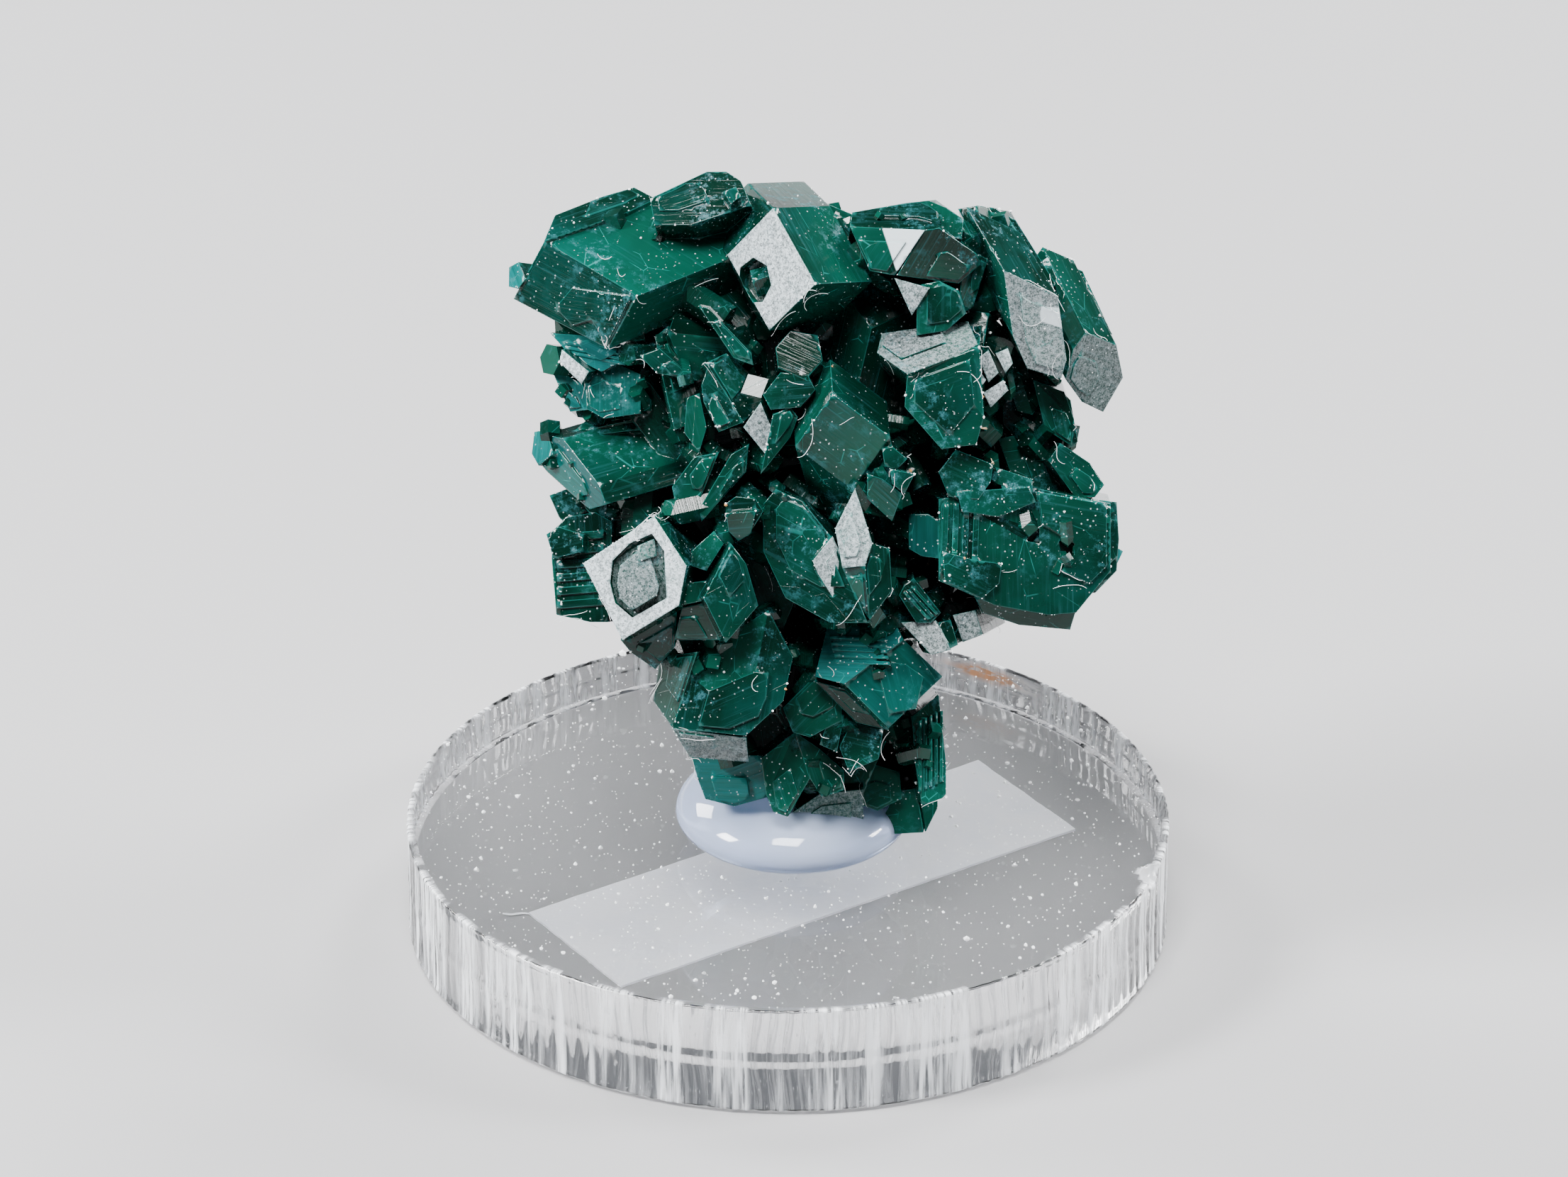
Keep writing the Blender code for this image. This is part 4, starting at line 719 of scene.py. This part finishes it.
class SPECIMEN_OT_crystals(bpy.types.Operator):
    """Dress the crystal cluster with a fine skin that has striae, etched faces and rounded edges"""

    bl_idname = "specimen.crystals"
    bl_label = "Crystals"

    SIDE_STEP = 0.35
    # Bend of an edge that counts as a valley, and the openness of a point that counts as hidden
    VALLEY, HIDDEN = -0.35, 0.42
    # Small crystals: least height, distance from etched faces, radius and its spread, openness of the tip
    IN_VALLEYS = (7.5, 0.4, (0.16, 0.36), 0.85)
    HALF_HIDDEN = (8.5, 0.9, (0.30, 0.45), 0.62)

    def execute(self, context):
        settings = context.scene.specimen_crystals
        places, loops, normals = flat_faces(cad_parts["dioptase_cluster"])
        skin = faceted_skin(places, loops, normals, settings.mesh_step / MM, settings.edge_round / MM,
                            self.SIDE_STEP)
        points, triangles, owners, vertex_normals, rims = skin
        piece = mesh_object("Dioptase_Crystals", points, triangles.tolist(), dioptase_surface(settings))
        mesh = piece.data
        middles = np.array([places[loop].mean(0) for loop in loops])
        chance = np.random.default_rng(3)
        along, aside = face_directions(places, loops, normals)
        corners = points[triangles]
        crowd = Crowding(corners)
        openness = crowd.openness(points, vertex_normals)
        point_values(mesh, "openness", openness)
        point_values(mesh, "rim", rims)
        tones_and_painted_glow = self.tones_and_painted_glow(places, loops, along, aside, chance, owners, corners, 1 - openness[triangles])
        point_values(mesh, "tone_and_glow", tones_and_painted_glow, "CORNER")
        point_values(mesh, "etched_and_glint", marked_faces(ETCHED_AND_GLINT_FACES, middles, normals)[owners], "FACE")
        point_values(mesh, "teal", marked_faces(TEAL_FACES, middles, normals)[owners], "FACE")
        point_values(mesh, "painted_reflection", self.painted_reflection_patches(points, triangles, normals[owners]), "CORNER")
        shift = chance.uniform(0, 90, (len(loops), 2))[owners]
        flat = np.stack([(corners * way[owners][:, None]).sum(-1) for way in (along, aside)], -1)
        flat_map(mesh, "face_mm", (flat + shift[:, None]).reshape(-1, 2))
        mesh.normals_split_custom_set_from_vertices(vertex_normals.tolist())
        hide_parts("dioptase_cluster")
        apart = np.min([np.linalg.norm(points - seen_place(*middle), axis=1) - reach
                        for middle, _, reach, _ in ETCHED_AND_GLINT_FACES], axis=0)
        height = points[:, 2]
        out = crowd.way_out(points)
        hidden = (openness < self.HIDDEN) & (crowd.openness(points, out) < self.HALF_HIDDEN[-1])
        in_valley = rims < self.VALLEY
        kinds = [("Small_Crystals", in_valley, settings.small_count, vertex_normals, self.IN_VALLEYS),
                 ("Half_Hidden_Crystals", hidden, settings.filler_count, out, self.HALF_HIDDEN)]
        for name, fits, count, ways, (least_height, least_apart, radius, most_open) in kinds:
            fits = np.flatnonzero(fits & (height > least_height) & (apart > least_apart))
            chosen = chance.choice(fits, min(count, len(fits)), replace=False)
            self.small_crystals(name, points[chosen], ways[chosen], *radius, chance, mesh.materials[0], crowd,
                                most_open)
        return {"FINISHED"}

    def tones_and_painted_glow(self, places, loops, along, aside, chance, owners, corners, crowded):
        """Lightness of each corner of each triangle.

        It is a chance value of its face plus painted light: a slope of painted light and shade across the
        face, and painted glow between other crystals and near the gel, from 12.5 mm up down to 7.5 mm, for
        light that has passed through them. The slope is the distance from the face's middle in a chance
        direction, over the face's half width."""
        count = len(loops)
        middles = np.array([places[loop].mean(0) for loop in loops])
        widths = np.array([np.linalg.norm(places[loop] - middle, axis=1).max()
                           for loop, middle in zip(loops, middles)])
        turn = chance.uniform(0, math.tau, count)[:, None]
        way = along * np.cos(turn) + aside * np.sin(turn)
        base = chance.uniform(0, 1, count) ** 1.4
        off_middle = corners - middles[owners][:, None]
        slope = (off_middle * way[owners][:, None]).sum(-1) / widths[owners][:, None]
        # painted light near the gel, as if the crystals were lit from below through it
        low = rounded((12.5 - corners[..., 2]) / 5)
        return np.clip(base[owners][:, None] * 0.7 + slope * 0.28 + crowded * 0.5 + low * 0.9, 0, 1.4).ravel()

    def small_crystals(self, name, roots, ways, least, spread, chance, material, crowd, most_open):
        """Dioptase crystals in the valleys: a hexagonal prism ended by the three faces of a rhomb.

        Corner k lies radius * (cos 60k, sin 60k) from the axis. It is radius * tan(51 degrees) below the tip
        for an even k and half of that for an odd one, and the root's corners are straight below.

        The radius is least + spread * chance^2, and one whose tip is more open than most_open is left out."""
        count = len(roots)
        axis = unit(ways + chance.normal(0, 0.30, (count, 3)))
        side = unit(np.cross(axis, chance.normal(0, 1, (count, 3))))
        other = np.cross(axis, side)
        radius = (least + spread * chance.uniform(0, 1, count) ** 2)[:, None, None]
        tips = (roots + axis * radius[:, 0] * chance.uniform(1.0, 1.9, (count, 1)))[:, None]
        kept = crowd.openness(tips[:, 0], axis) < most_open
        axis, side, other, radius, tips = axis[kept], side[kept], other[kept], radius[kept], tips[kept]
        count = len(tips)
        angle = np.arange(6) * math.pi / 3
        out = np.cos(angle)[None, :, None] * side[:, None] + np.sin(angle)[None, :, None] * other[:, None]
        fall = math.tan(math.radians(50.97)) * radius
        drop = np.where(np.arange(6) % 2 == 0, 1.0, 0.5)[None, :, None] * fall
        rings = tips + out * radius - axis[:, None] * drop
        lows = tips + out * radius - axis[:, None] * radius * 4
        points = np.concatenate([tips, rings, lows], 1)
        caps = [[0, 1 + (e - 1) % 6, 1 + e, 1 + (e + 1) % 6] for e in (0, 2, 4)]
        walls = [[1 + k, 7 + k, 7 + (k + 1) % 6, 1 + (k + 1) % 6] for k in range(6)]
        sides = caps + walls + [[12, 11, 10, 9, 8, 7]]
        faces = [[corner + 13 * number for corner in side] for number in range(count) for side in sides]
        piece = creased_object(name, points.reshape(-1, 3), faces, material, crease=20)
        mesh = piece.data
        outward = unit(np.concatenate([axis[:, None], np.repeat(axis[:, None], 6, 1) + out, out], 1))
        point_values(mesh, "openness", crowd.openness(points.reshape(-1, 3), outward.reshape(-1, 3)))
        point_values(mesh, "tone_and_glow", 0.25 + 0.75 * chance.uniform(0, 1, len(mesh.polygons)), "FACE")
        point_values(mesh, "painted_reflection", np.full(len(mesh.vertices), -1.0))
        along = np.stack([((points - tips) * way[:, None]).sum(-1) for way in (side, axis)], -1)
        flat_map(mesh, "face_mm", along.reshape(-1, 2)[corner_points(mesh)])

    def painted_reflection_patches(self, points, triangles, normals):
        """Distance in millimetres inside the patches of painted reflection, at each corner of each triangle.
        """
        corners = points[triangles].reshape(-1, 3)
        each = np.repeat(normals, 3, 0)
        away = corners - HEART
        flat = np.stack([away @ ACROSS, away @ UPWARD], 1)
        inside_by = np.full(len(corners), -1.0)
        for outline, near, looks in PAINTED_REFLECTION_PATCHES:
            fits = (each @ seen_direction(looks) > 0.97) & (np.abs(away @ NEARER - near) < 1.6)
            chosen = np.flatnonzero(fits)
            if len(chosen):
                reach, inside = reach_to_outline(flat[chosen], np.array(outline))
                inside_by[chosen] = np.maximum(inside_by[chosen], np.where(inside, reach, -reach))
        return inside_by


class SPECIMEN_OT_gel(bpy.types.Operator):
    """Make the drop of mounting gel that the crystals' feet are pressed into"""

    bl_idname = "specimen.gel"
    bl_label = "Mounting gel"

    # The drop's middle, radius and top in millimetres, and its widest level as a share of its height
    CENTRE_Y, RADIUS, TOP = -2.0, 4.88, 8.1
    WIDEST = 0.42
    SIDES = 128

    def execute(self, context):
        settings = context.scene.specimen_soft
        centre = np.array([(GEL_LOW[0] + GEL_HIGH[0]) / 2, self.CENTRE_Y])
        low, height = GEL_LOW[2], self.TOP - GEL_LOW[2]
        sweep = np.linspace(0.02, math.pi - 0.04, 46)
        rise = np.cos(sweep)
        level = low + height * (self.WIDEST + np.where(rise > 0, 1 - self.WIDEST, self.WIDEST) * rise)
        profile = np.stack([self.RADIUS * np.sin(sweep) ** 0.8, level], 1)

        def reach(r, h, angle):
            """The radius waves by a hundredth, as a drop that was pressed by hand."""
            return r * (1 - 0.012 + 0.012 * np.cos(2 * angle + 0.6) * (r > 1)), h

        grid = ring_grid(profile, self.SIDES, reach)
        grid[..., :2] += centre
        points = np.concatenate([grid.reshape(-1, 3), [[*centre, self.TOP], [*centre, low]]])
        faces = [face[::-1] for face in capped_faces(len(profile), self.SIDES)]
        piece = creased_object("Mounting_Gel", points, faces, gel_surface(settings))
        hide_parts("mounting_gel")
        return {"FINISHED"}


class SPECIMEN_OT_base(bpy.types.Operator):
    """Make the clear disc with its rippled wall, its chip and its stain"""

    bl_idname = "specimen.base"
    bl_label = "Clear base"

    SIDES = 1200
    # Radii of the rings on the flat faces, the wall's ridge, and how far the chip's centre is off the rim
    INNER_RINGS = (1.0, 5.0, 9.0, 12.5, 14.2, 14.7, 15.1, 15.4, 15.65)
    RIDGE, RIDGE_WIDTH = 0.035, 0.12
    CHIP_OUT, CHIP_ABOVE = 0.30, 0.25

    def execute(self, context):
        settings = context.scene.specimen_base
        radius, low, high = DISC_HIGH[0], DISC_LOW[2], DISC_HIGH[2]
        middle = (low + high) / 2
        radii, heights = self.profile(radius, low, high, settings.rim_round / MM)
        count = round(math.tau * radius / (settings.ripple_pitch / MM))
        chance = np.random.default_rng(8)
        depths = settings.ripple_depth / MM * chance.uniform(0.25, 1.0, count)

        def reach(r, h, angle):
            """The wall is a row of scallops of uneven depth, which lean and fade a little with height."""
            lean = angle + 0.006 * np.sin(h * 1.3 + angle * 5)
            share = lean / math.tau * count
            scallop = np.abs(np.sin(share * math.pi))
            depth = depths[np.floor(share).astype(int) % count]
            on_wall = rounded((r - radius + 0.5) / 0.45)
            return r - on_wall * depth * (1 - scallop) * (0.7 + 0.3 * np.cos(h * 0.9 + angle * 7)), h

        grid = ring_grid(np.stack([radii, heights], 1), self.SIDES, reach)
        chip = settings.chip_radius / MM
        turned = settings.chip_azimuth
        out = radius + self.CHIP_OUT
        hollow = np.array([out * math.cos(turned), out * math.sin(turned), high + self.CHIP_ABOVE])
        away = grid - hollow
        length = np.linalg.norm(away, axis=-1, keepdims=True)
        waves = 1 + 0.02 * np.cos(away[..., 2:] * 22)
        grid = np.where(length < chip, hollow + away / np.maximum(length, 1e-9) * chip * waves, grid)
        points = np.concatenate([grid.reshape(-1, 3), [[0, 0, high], [0, 0, low]]])
        faces = capped_faces(len(radii), self.SIDES)
        piece = creased_object("Clear_Base", points, faces, acrylic_surface(settings))
        mesh = piece.data
        places = point_places(mesh)
        around = np.arctan2(places[:, 1], places[:, 0])
        out = np.hypot(places[:, 0], places[:, 1])
        on_wall = rounded((out - radius + 0.3) / 0.2)
        point_values(mesh, "wall", on_wall)
        off = (around - settings.stain_azimuth) * radius
        patch = np.exp(-(off / 1.9) ** 2 - ((places[:, 2] - middle - 0.7) / 0.9) ** 2) * on_wall
        point_values(mesh, "stain", patch)
        point_values(mesh, "chip", np.linalg.norm(places - hollow, axis=1) < chip + 0.03)
        corners = corner_points(mesh)
        flat_map(mesh, "wall_mm", np.stack([around[corners] * radius, places[corners, 2]], 1))
        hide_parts("acrylic_base")
        return {"FINISHED"}

    def profile(self, radius, low, high, corner):
        """Radii and heights from the middle of the top to the middle of the underside.

        The rims are quarter circles of radius corner, and the wall has a ridge half-way: radius + RIDGE *
        (exp(-((height - middle) / RIDGE_WIDTH)^2) - 1)."""
        turn = np.linspace(0, math.pi / 2, 5)
        wall = np.linspace(high - corner, low + corner, 26)[1:-1]
        ridge = self.RIDGE * np.exp(-((wall - (low + high) / 2) / self.RIDGE_WIDTH) ** 2) - self.RIDGE
        inner = np.array(self.INNER_RINGS)
        radii = [inner, radius - corner + corner * np.sin(turn), radius + ridge,
                 radius - corner + corner * np.cos(turn), inner[::-1]]
        heights = [np.full(len(inner), high), high - corner + corner * np.cos(turn), wall,
                   low + corner - corner * np.sin(turn), np.full(len(inner), low)]
        return np.concatenate(radii), np.concatenate(heights)


class SPECIMEN_OT_label(bpy.types.Operator):
    """Make the paper strip under the disc, with a torn whisker at one corner"""

    bl_idname = "specimen.label"
    bl_label = "Paper label"

    TURN = math.radians(34)
    MIDDLE = np.array([0.7, -1.2])
    HALF_LENGTH, HALF_WIDTH = 11.46, 3.55
    GRID = (140, 44)
    # The torn whisker's root, length and width in millimetres, and its thickness as a share of its width
    WHISKER, WHISKER_LENGTH, WHISKER_WIDTH, WHISKER_FLAT = (-10.75, -4.7), 1.1, 0.17, 0.3

    def execute(self, context):
        settings = context.scene.specimen_soft
        along = np.array([math.cos(self.TURN), math.sin(self.TURN)])
        aside = np.array([-along[1], along[0]])
        rows, columns = self.GRID
        share_u, share_v = np.meshgrid(np.linspace(-1, 1, rows), np.linspace(-1, 1, columns), indexing="ij")
        nick = np.convolve(np.random.default_rng(5).normal(0, 1, rows + columns), np.ones(5) / 5, "same")
        u = share_u * (1 + 0.0035 * nick[:columns][None] * np.abs(share_u) ** 30) * self.HALF_LENGTH
        v = share_v * (1 + 0.006 * nick[columns:][:, None] * np.abs(share_v) ** 30) * self.HALF_WIDTH
        flat = self.MIDDLE + u[..., None] * along + v[..., None] * aside
        low, high = LABEL_LOW[2], LABEL_HIGH[2]
        sheet = np.stack([np.insert(flat, 2, level, axis=-1) for level in (low, high)])
        count = rows * columns
        quads = grid_faces(rows, columns)
        index = np.arange(count).reshape(rows, columns)
        ring = np.concatenate([index[0], index[1:, -1], index[-1, -2::-1], index[-2:0:-1, 0]])
        after = np.roll(ring, -1)
        walls = np.stack([ring, after, after + count, ring + count], 1)
        faces = np.concatenate([quads[:, ::-1], quads + count, walls]).tolist()
        share = np.linspace(0, 1, 14)
        middle = (low + high) / 2
        x, y = self.WHISKER
        waves = y + 0.05 * np.sin(share * 7)
        torn = np.stack([x - self.WHISKER_LENGTH * share, waves, np.full(len(share), middle)], 1)
        sliver, sides = tubes(torn[None], np.array([self.WHISKER_WIDTH]))
        sliver[:, 2] = middle + (sliver[:, 2] - middle) * self.WHISKER_FLAT
        faces += [[corner + 2 * count for corner in side] for side in sides]
        points = np.concatenate([sheet.reshape(-1, 3), sliver])
        piece = creased_object("Paper_Label", points, faces, paper_surface(settings))
        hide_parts("paper_label")
        return {"FINISHED"}


def surface_lookup(name):
    """Nearest-point search over a piece, in millimetres."""
    mesh = bpy.data.objects[name].data
    return BVHTree.FromPolygons(point_places(mesh).tolist(), [list(face.vertices) for face in mesh.polygons])


def tubes(paths, width, sides=6):
    """Round profile carried along many paths at once: path point + width/2 * (cos t * side + sin t * other).

    Side and other are at right angles to the path's direction, which is the difference of its neighbours."""
    ahead = unit(np.gradient(paths, axis=1))
    upright = np.where(np.abs(ahead[..., 2:]) > 0.9, [1.0, 0.0, 0.0], [0.0, 0.0, 1.0])
    side = unit(np.cross(ahead, upright))
    other = np.cross(ahead, side)
    angle = np.linspace(0, math.tau, sides, endpoint=False)
    taper = np.sin(np.linspace(0.12, math.pi - 0.12, paths.shape[1])) ** 0.25
    radius = width[:, None, None, None] / 2 * taper[None, :, None, None]
    around = np.cos(angle)[:, None] * side[:, :, None] + np.sin(angle)[:, None] * other[:, :, None]
    points = paths[:, :, None] + around * radius
    one = grid_faces(paths.shape[1], sides, closed=True)
    per_path = paths.shape[1] * sides
    faces = (one[None] + np.arange(len(paths))[:, None, None] * per_path).reshape(-1, 4)
    ends = np.arange(sides)
    starts = np.arange(len(paths))[:, None] * per_path
    caps = np.concatenate([starts + ends[::-1], starts + per_path - sides + ends])
    return points.reshape(-1, 3), faces.tolist() + caps.tolist()


def lint_paths(lookup, chance, starts, points=26):
    """Curly paths that start on the surface next to each start, follow it and lift off towards their ends."""
    paths = np.empty((len(starts), points, 3))
    for fibre, start in enumerate(starts):
        found, normal, _, _ = lookup.find_nearest(Vector(start))
        here, way = np.array(found), np.array(normal)
        tangent = unit(np.cross(way, chance.normal(0, 1, 3)))
        length = chance.uniform(0.4, 2.2)
        step = length / points
        bend = chance.normal(0, 0.05)
        lift = chance.uniform(0.03, 0.25)
        for index in range(points):
            share = index / (points - 1)
            rise = 0.03 + lift * abs(2 * share - 1) ** 2
            paths[fibre, index] = here + way * rise
            bend += chance.normal(0, 0.04)
            aside = np.cross(way, tangent)
            tangent = tangent * math.cos(bend * 0.4) + aside * math.sin(bend * 0.4)
            found, normal, _, _ = lookup.find_nearest(Vector(here + tangent * step))
            turned = np.array(normal)
            here = here + tangent * step * 0.5 + (np.array(found) - here) * 0.5
            way = unit(way * 0.8 + turned * 0.2)
            tangent = unit(tangent - way * (tangent @ way))
    return paths


class SPECIMEN_OT_lint(bpy.types.Operator):
    """Lay curly lint fibres over the crystals"""

    bl_idname = "specimen.lint"
    bl_label = "Lint"

    # Lowest and highest corner, in millimetres, of where fibres start
    REACH = np.array([(-11.0, -9.0, 8.0), (13.0, 3.0, 32.0)])

    def execute(self, context):
        settings = context.scene.specimen_dust
        lookup = surface_lookup("Dioptase_Crystals")
        chance = np.random.default_rng(12)
        low, high = self.REACH
        starts = low + (high - low) * chance.uniform(0, 1, (settings.fibres, 3))
        paths = lint_paths(lookup, chance, starts)
        width = chance.uniform(0.6, 1.1, len(paths)) * settings.fibre_width / MM
        points, faces = tubes(paths, width)
        material = fluff_surface("white_lint", settings.white, (0.7, 0.74, 0.76))
        creased_object("Lint_Fibres", points, faces, material)
        paths = lint_paths(lookup, chance, [seen_place(*place) for place in BROWN_FIBRES])
        points, faces = tubes(paths, np.full(len(paths), 1.6 * settings.fibre_width / MM))
        material = fluff_surface("brown_lint", settings.brown, (0.75, 0.62, 0.45))
        creased_object("Brown_Fibres", points, faces, material)
        return {"FINISHED"}


class SPECIMEN_OT_dust(bpy.types.Operator):
    """Scatter dust grains over the crystals and the disc"""

    bl_idname = "specimen.dust"
    bl_label = "Dust"

    # Lowest and highest corner of where grains are dropped, and the least rise of a dusty face's normal
    REACH = np.array([(-12.0, -9.0, 6.0), (14.0, 9.0, 33.0)])
    STEEPEST = -0.3

    def execute(self, context):
        settings = context.scene.specimen_dust
        chance = np.random.default_rng(21)
        lookup = surface_lookup("Dioptase_Crystals")
        low, high = self.REACH
        spots = []
        for start in low + (high - low) * chance.uniform(0, 1, (settings.cluster_grains * 2, 3)):
            found, normal, _, _ = lookup.find_nearest(Vector(start))
            if normal.z > self.STEEPEST:
                spots.append(list(found + normal * 0.01))
        spots = np.array(spots[:settings.cluster_grains])
        sizes = 0.011 + 0.055 * chance.uniform(0, 1, len(spots)) ** 12
        grains("Crystal_Dust", spots, sizes, chance, settings.white)
        near = [lookup.find_nearest(Vector(seen_place(*place)))[0] for place in BROWN_SPECKS]
        grains("Brown_Specks", np.array(near), np.linspace(0.04, 0.07, len(near)), chance, settings.brown)
        out = (DISC_HIGH[0] - 0.3) * np.sqrt(chance.uniform(0, 1, settings.disc_grains))
        around = chance.uniform(0, math.tau, settings.disc_grains)
        level = np.full(len(out), DISC_HIGH[2] + 0.008)
        spots = np.stack([out * np.cos(around), out * np.sin(around), level], 1)
        sizes = 0.024 + 0.08 * chance.uniform(0, 1, len(spots)) ** 10
        crumbs = np.array(CRUMBS)
        spots = np.concatenate([spots, crumbs[:, :3]])
        sizes = np.concatenate([sizes, crumbs[:, 3]])
        grains("Base_Dust", spots, sizes, chance, settings.white)
        return {"FINISHED"}


def grains(name, spots, sizes, chance, colour):
    """Uneven grains of twenty faces: an icosahedron's corners, each pushed in or out by up to a third."""
    golden = (1 + math.sqrt(5)) / 2
    corners = np.array([(-1, golden, 0), (1, golden, 0), (-1, -golden, 0), (1, -golden, 0), (0, -1, golden),
                        (0, 1, golden), (0, -1, -golden), (0, 1, -golden), (golden, 0, -1), (golden, 0, 1),
                        (-golden, 0, -1), (-golden, 0, 1)]) / math.hypot(1, golden)
    sides = np.array([(0, 11, 5), (0, 5, 1), (0, 1, 7), (0, 7, 10), (0, 10, 11), (1, 5, 9), (5, 11, 4),
                      (11, 10, 2), (10, 7, 6), (7, 1, 8), (3, 9, 4), (3, 4, 2), (3, 2, 6), (3, 6, 8),
                      (3, 8, 9), (4, 9, 5), (2, 4, 11), (6, 2, 10), (8, 6, 7), (9, 8, 1)])
    shape = corners[None] * chance.uniform(0.66, 1.33, (len(spots), 12, 1)) * sizes[:, None, None]
    points = (spots[:, None] + shape).reshape(-1, 3)
    faces = (sides[None] + 12 * np.arange(len(spots))[:, None, None]).reshape(-1, 3)
    material = fluff_surface(name.lower(), colour, [0.86 * part for part in colour])
    mesh_object(name, points, faces.tolist(), material, smooth=False)


class SPECIMEN_OT_stage(bpy.types.Operator):
    """Set the pale floor, the soft lights and the camera"""

    bl_idname = "specimen.stage"
    bl_label = "Stage"

    FLOOR_REACH = 1.5
    CAMERA_TARGET = Vector((-0.00016, 0, 0.01563))
    LIGHT_TARGET = Vector((0, 0, 0.014))

    def execute(self, context):
        settings = context.scene.specimen_stage
        floor = Surface("floor")
        grain = floor.noise(floor.place(), 300.0, 2.0)
        paint = floor.finish(Base_Color=floor.mix(grain * 0.1, rgb(settings.floor), (0.28, 0.28, 0.29, 1)),
                             Roughness=0.8, Specular_IOR_Level=0.0)
        side = self.FLOOR_REACH
        mesh = bpy.data.meshes.new("Floor")
        corners = [(-side, -side, 0), (side, -side, 0), (side, side, 0), (-side, side, 0)]
        mesh.from_pydata(corners, [], [(0, 1, 2, 3)])
        mesh.materials.append(paint)
        plane = bpy.data.objects.new("Floor", mesh)
        context.scene.collection.objects.link(plane)
        for name, place, size, power in SOFTBOXES:
            self.light(name, place, size, power)
        world = bpy.data.worlds.new("studio")
        world.use_nodes = True
        sky = world.node_tree.nodes["Background"]
        sky.inputs["Color"].default_value = (0.80, 0.86, 0.95, 1)
        sky.inputs["Strength"].default_value = 0.17
        context.scene.world = world
        camera = bpy.data.cameras.new("Camera")
        camera.lens = settings.lens
        camera.sensor_width = 36.0
        camera.clip_start = 0.01
        camera.clip_end = 10.0
        eye = bpy.data.objects.new("Camera", camera)
        up = settings.camera_elevation
        back = Vector((0, -math.cos(up), math.sin(up)))
        eye.location = self.CAMERA_TARGET + back * settings.camera_distance
        eye.rotation_euler = (math.pi / 2 - up, 0, 0)
        context.scene.collection.objects.link(eye)
        context.scene.camera = eye
        return {"FINISHED"}

    def light(self, name, place, size, power):
        lamp = bpy.data.lights.new(name, "AREA")
        lamp.shape = "SQUARE"
        lamp.size = size
        lamp.energy = power
        thing = bpy.data.objects.new(name, lamp)
        thing.location = place
        thing.rotation_euler = (self.LIGHT_TARGET - Vector(place)).to_track_quat("-Z", "Y").to_euler()
        bpy.context.scene.collection.objects.link(thing)


class SPECIMEN_PT_panel(bpy.types.Panel):
    bl_label = "Dioptase Specimen"
    bl_idname = "SPECIMEN_PT_panel"
    bl_space_type = "VIEW_3D"
    bl_region_type = "UI"
    bl_category = "Specimen"

    def draw(self, context):
        for name, operators in PANEL_ROWS:
            box = self.layout.box()
            settings = getattr(context.scene, name)
            for key in type(settings).__annotations__:
                box.prop(settings, key)
            for operator in operators:
                box.operator(operator.bl_idname)


PANEL_ROWS = [
    ("specimen_crystals", [SPECIMEN_OT_crystals]),
    ("specimen_base", [SPECIMEN_OT_base]),
    ("specimen_soft", [SPECIMEN_OT_gel, SPECIMEN_OT_label]),
    ("specimen_dust", [SPECIMEN_OT_lint, SPECIMEN_OT_dust]),
    ("specimen_stage", [SPECIMEN_OT_stage]),
]
GROUPS = {"specimen_crystals": CrystalSettings, "specimen_base": BaseSettings, "specimen_soft": SoftSettings,
          "specimen_dust": DustSettings, "specimen_stage": StageSettings}
OPERATORS = [operator for _, operators in PANEL_ROWS for operator in operators]


def register():
    for part in (*GROUPS.values(), *OPERATORS, SPECIMEN_PT_panel):
        bpy.utils.register_class(part)
    for name, group in GROUPS.items():
        setattr(bpy.types.Scene, name, bpy.props.PointerProperty(type=group))


def unregister():
    for name in GROUPS:
        delattr(bpy.types.Scene, name)
    for part in (SPECIMEN_PT_panel, *reversed(OPERATORS), *reversed(GROUPS.values())):
        bpy.utils.unregister_class(part)


def main():
    register()
    for step in ("crystals", "gel", "base", "label", "lint", "dust", "stage"):
        getattr(bpy.ops.specimen, step)()


if __name__ == "__main__":
    main()
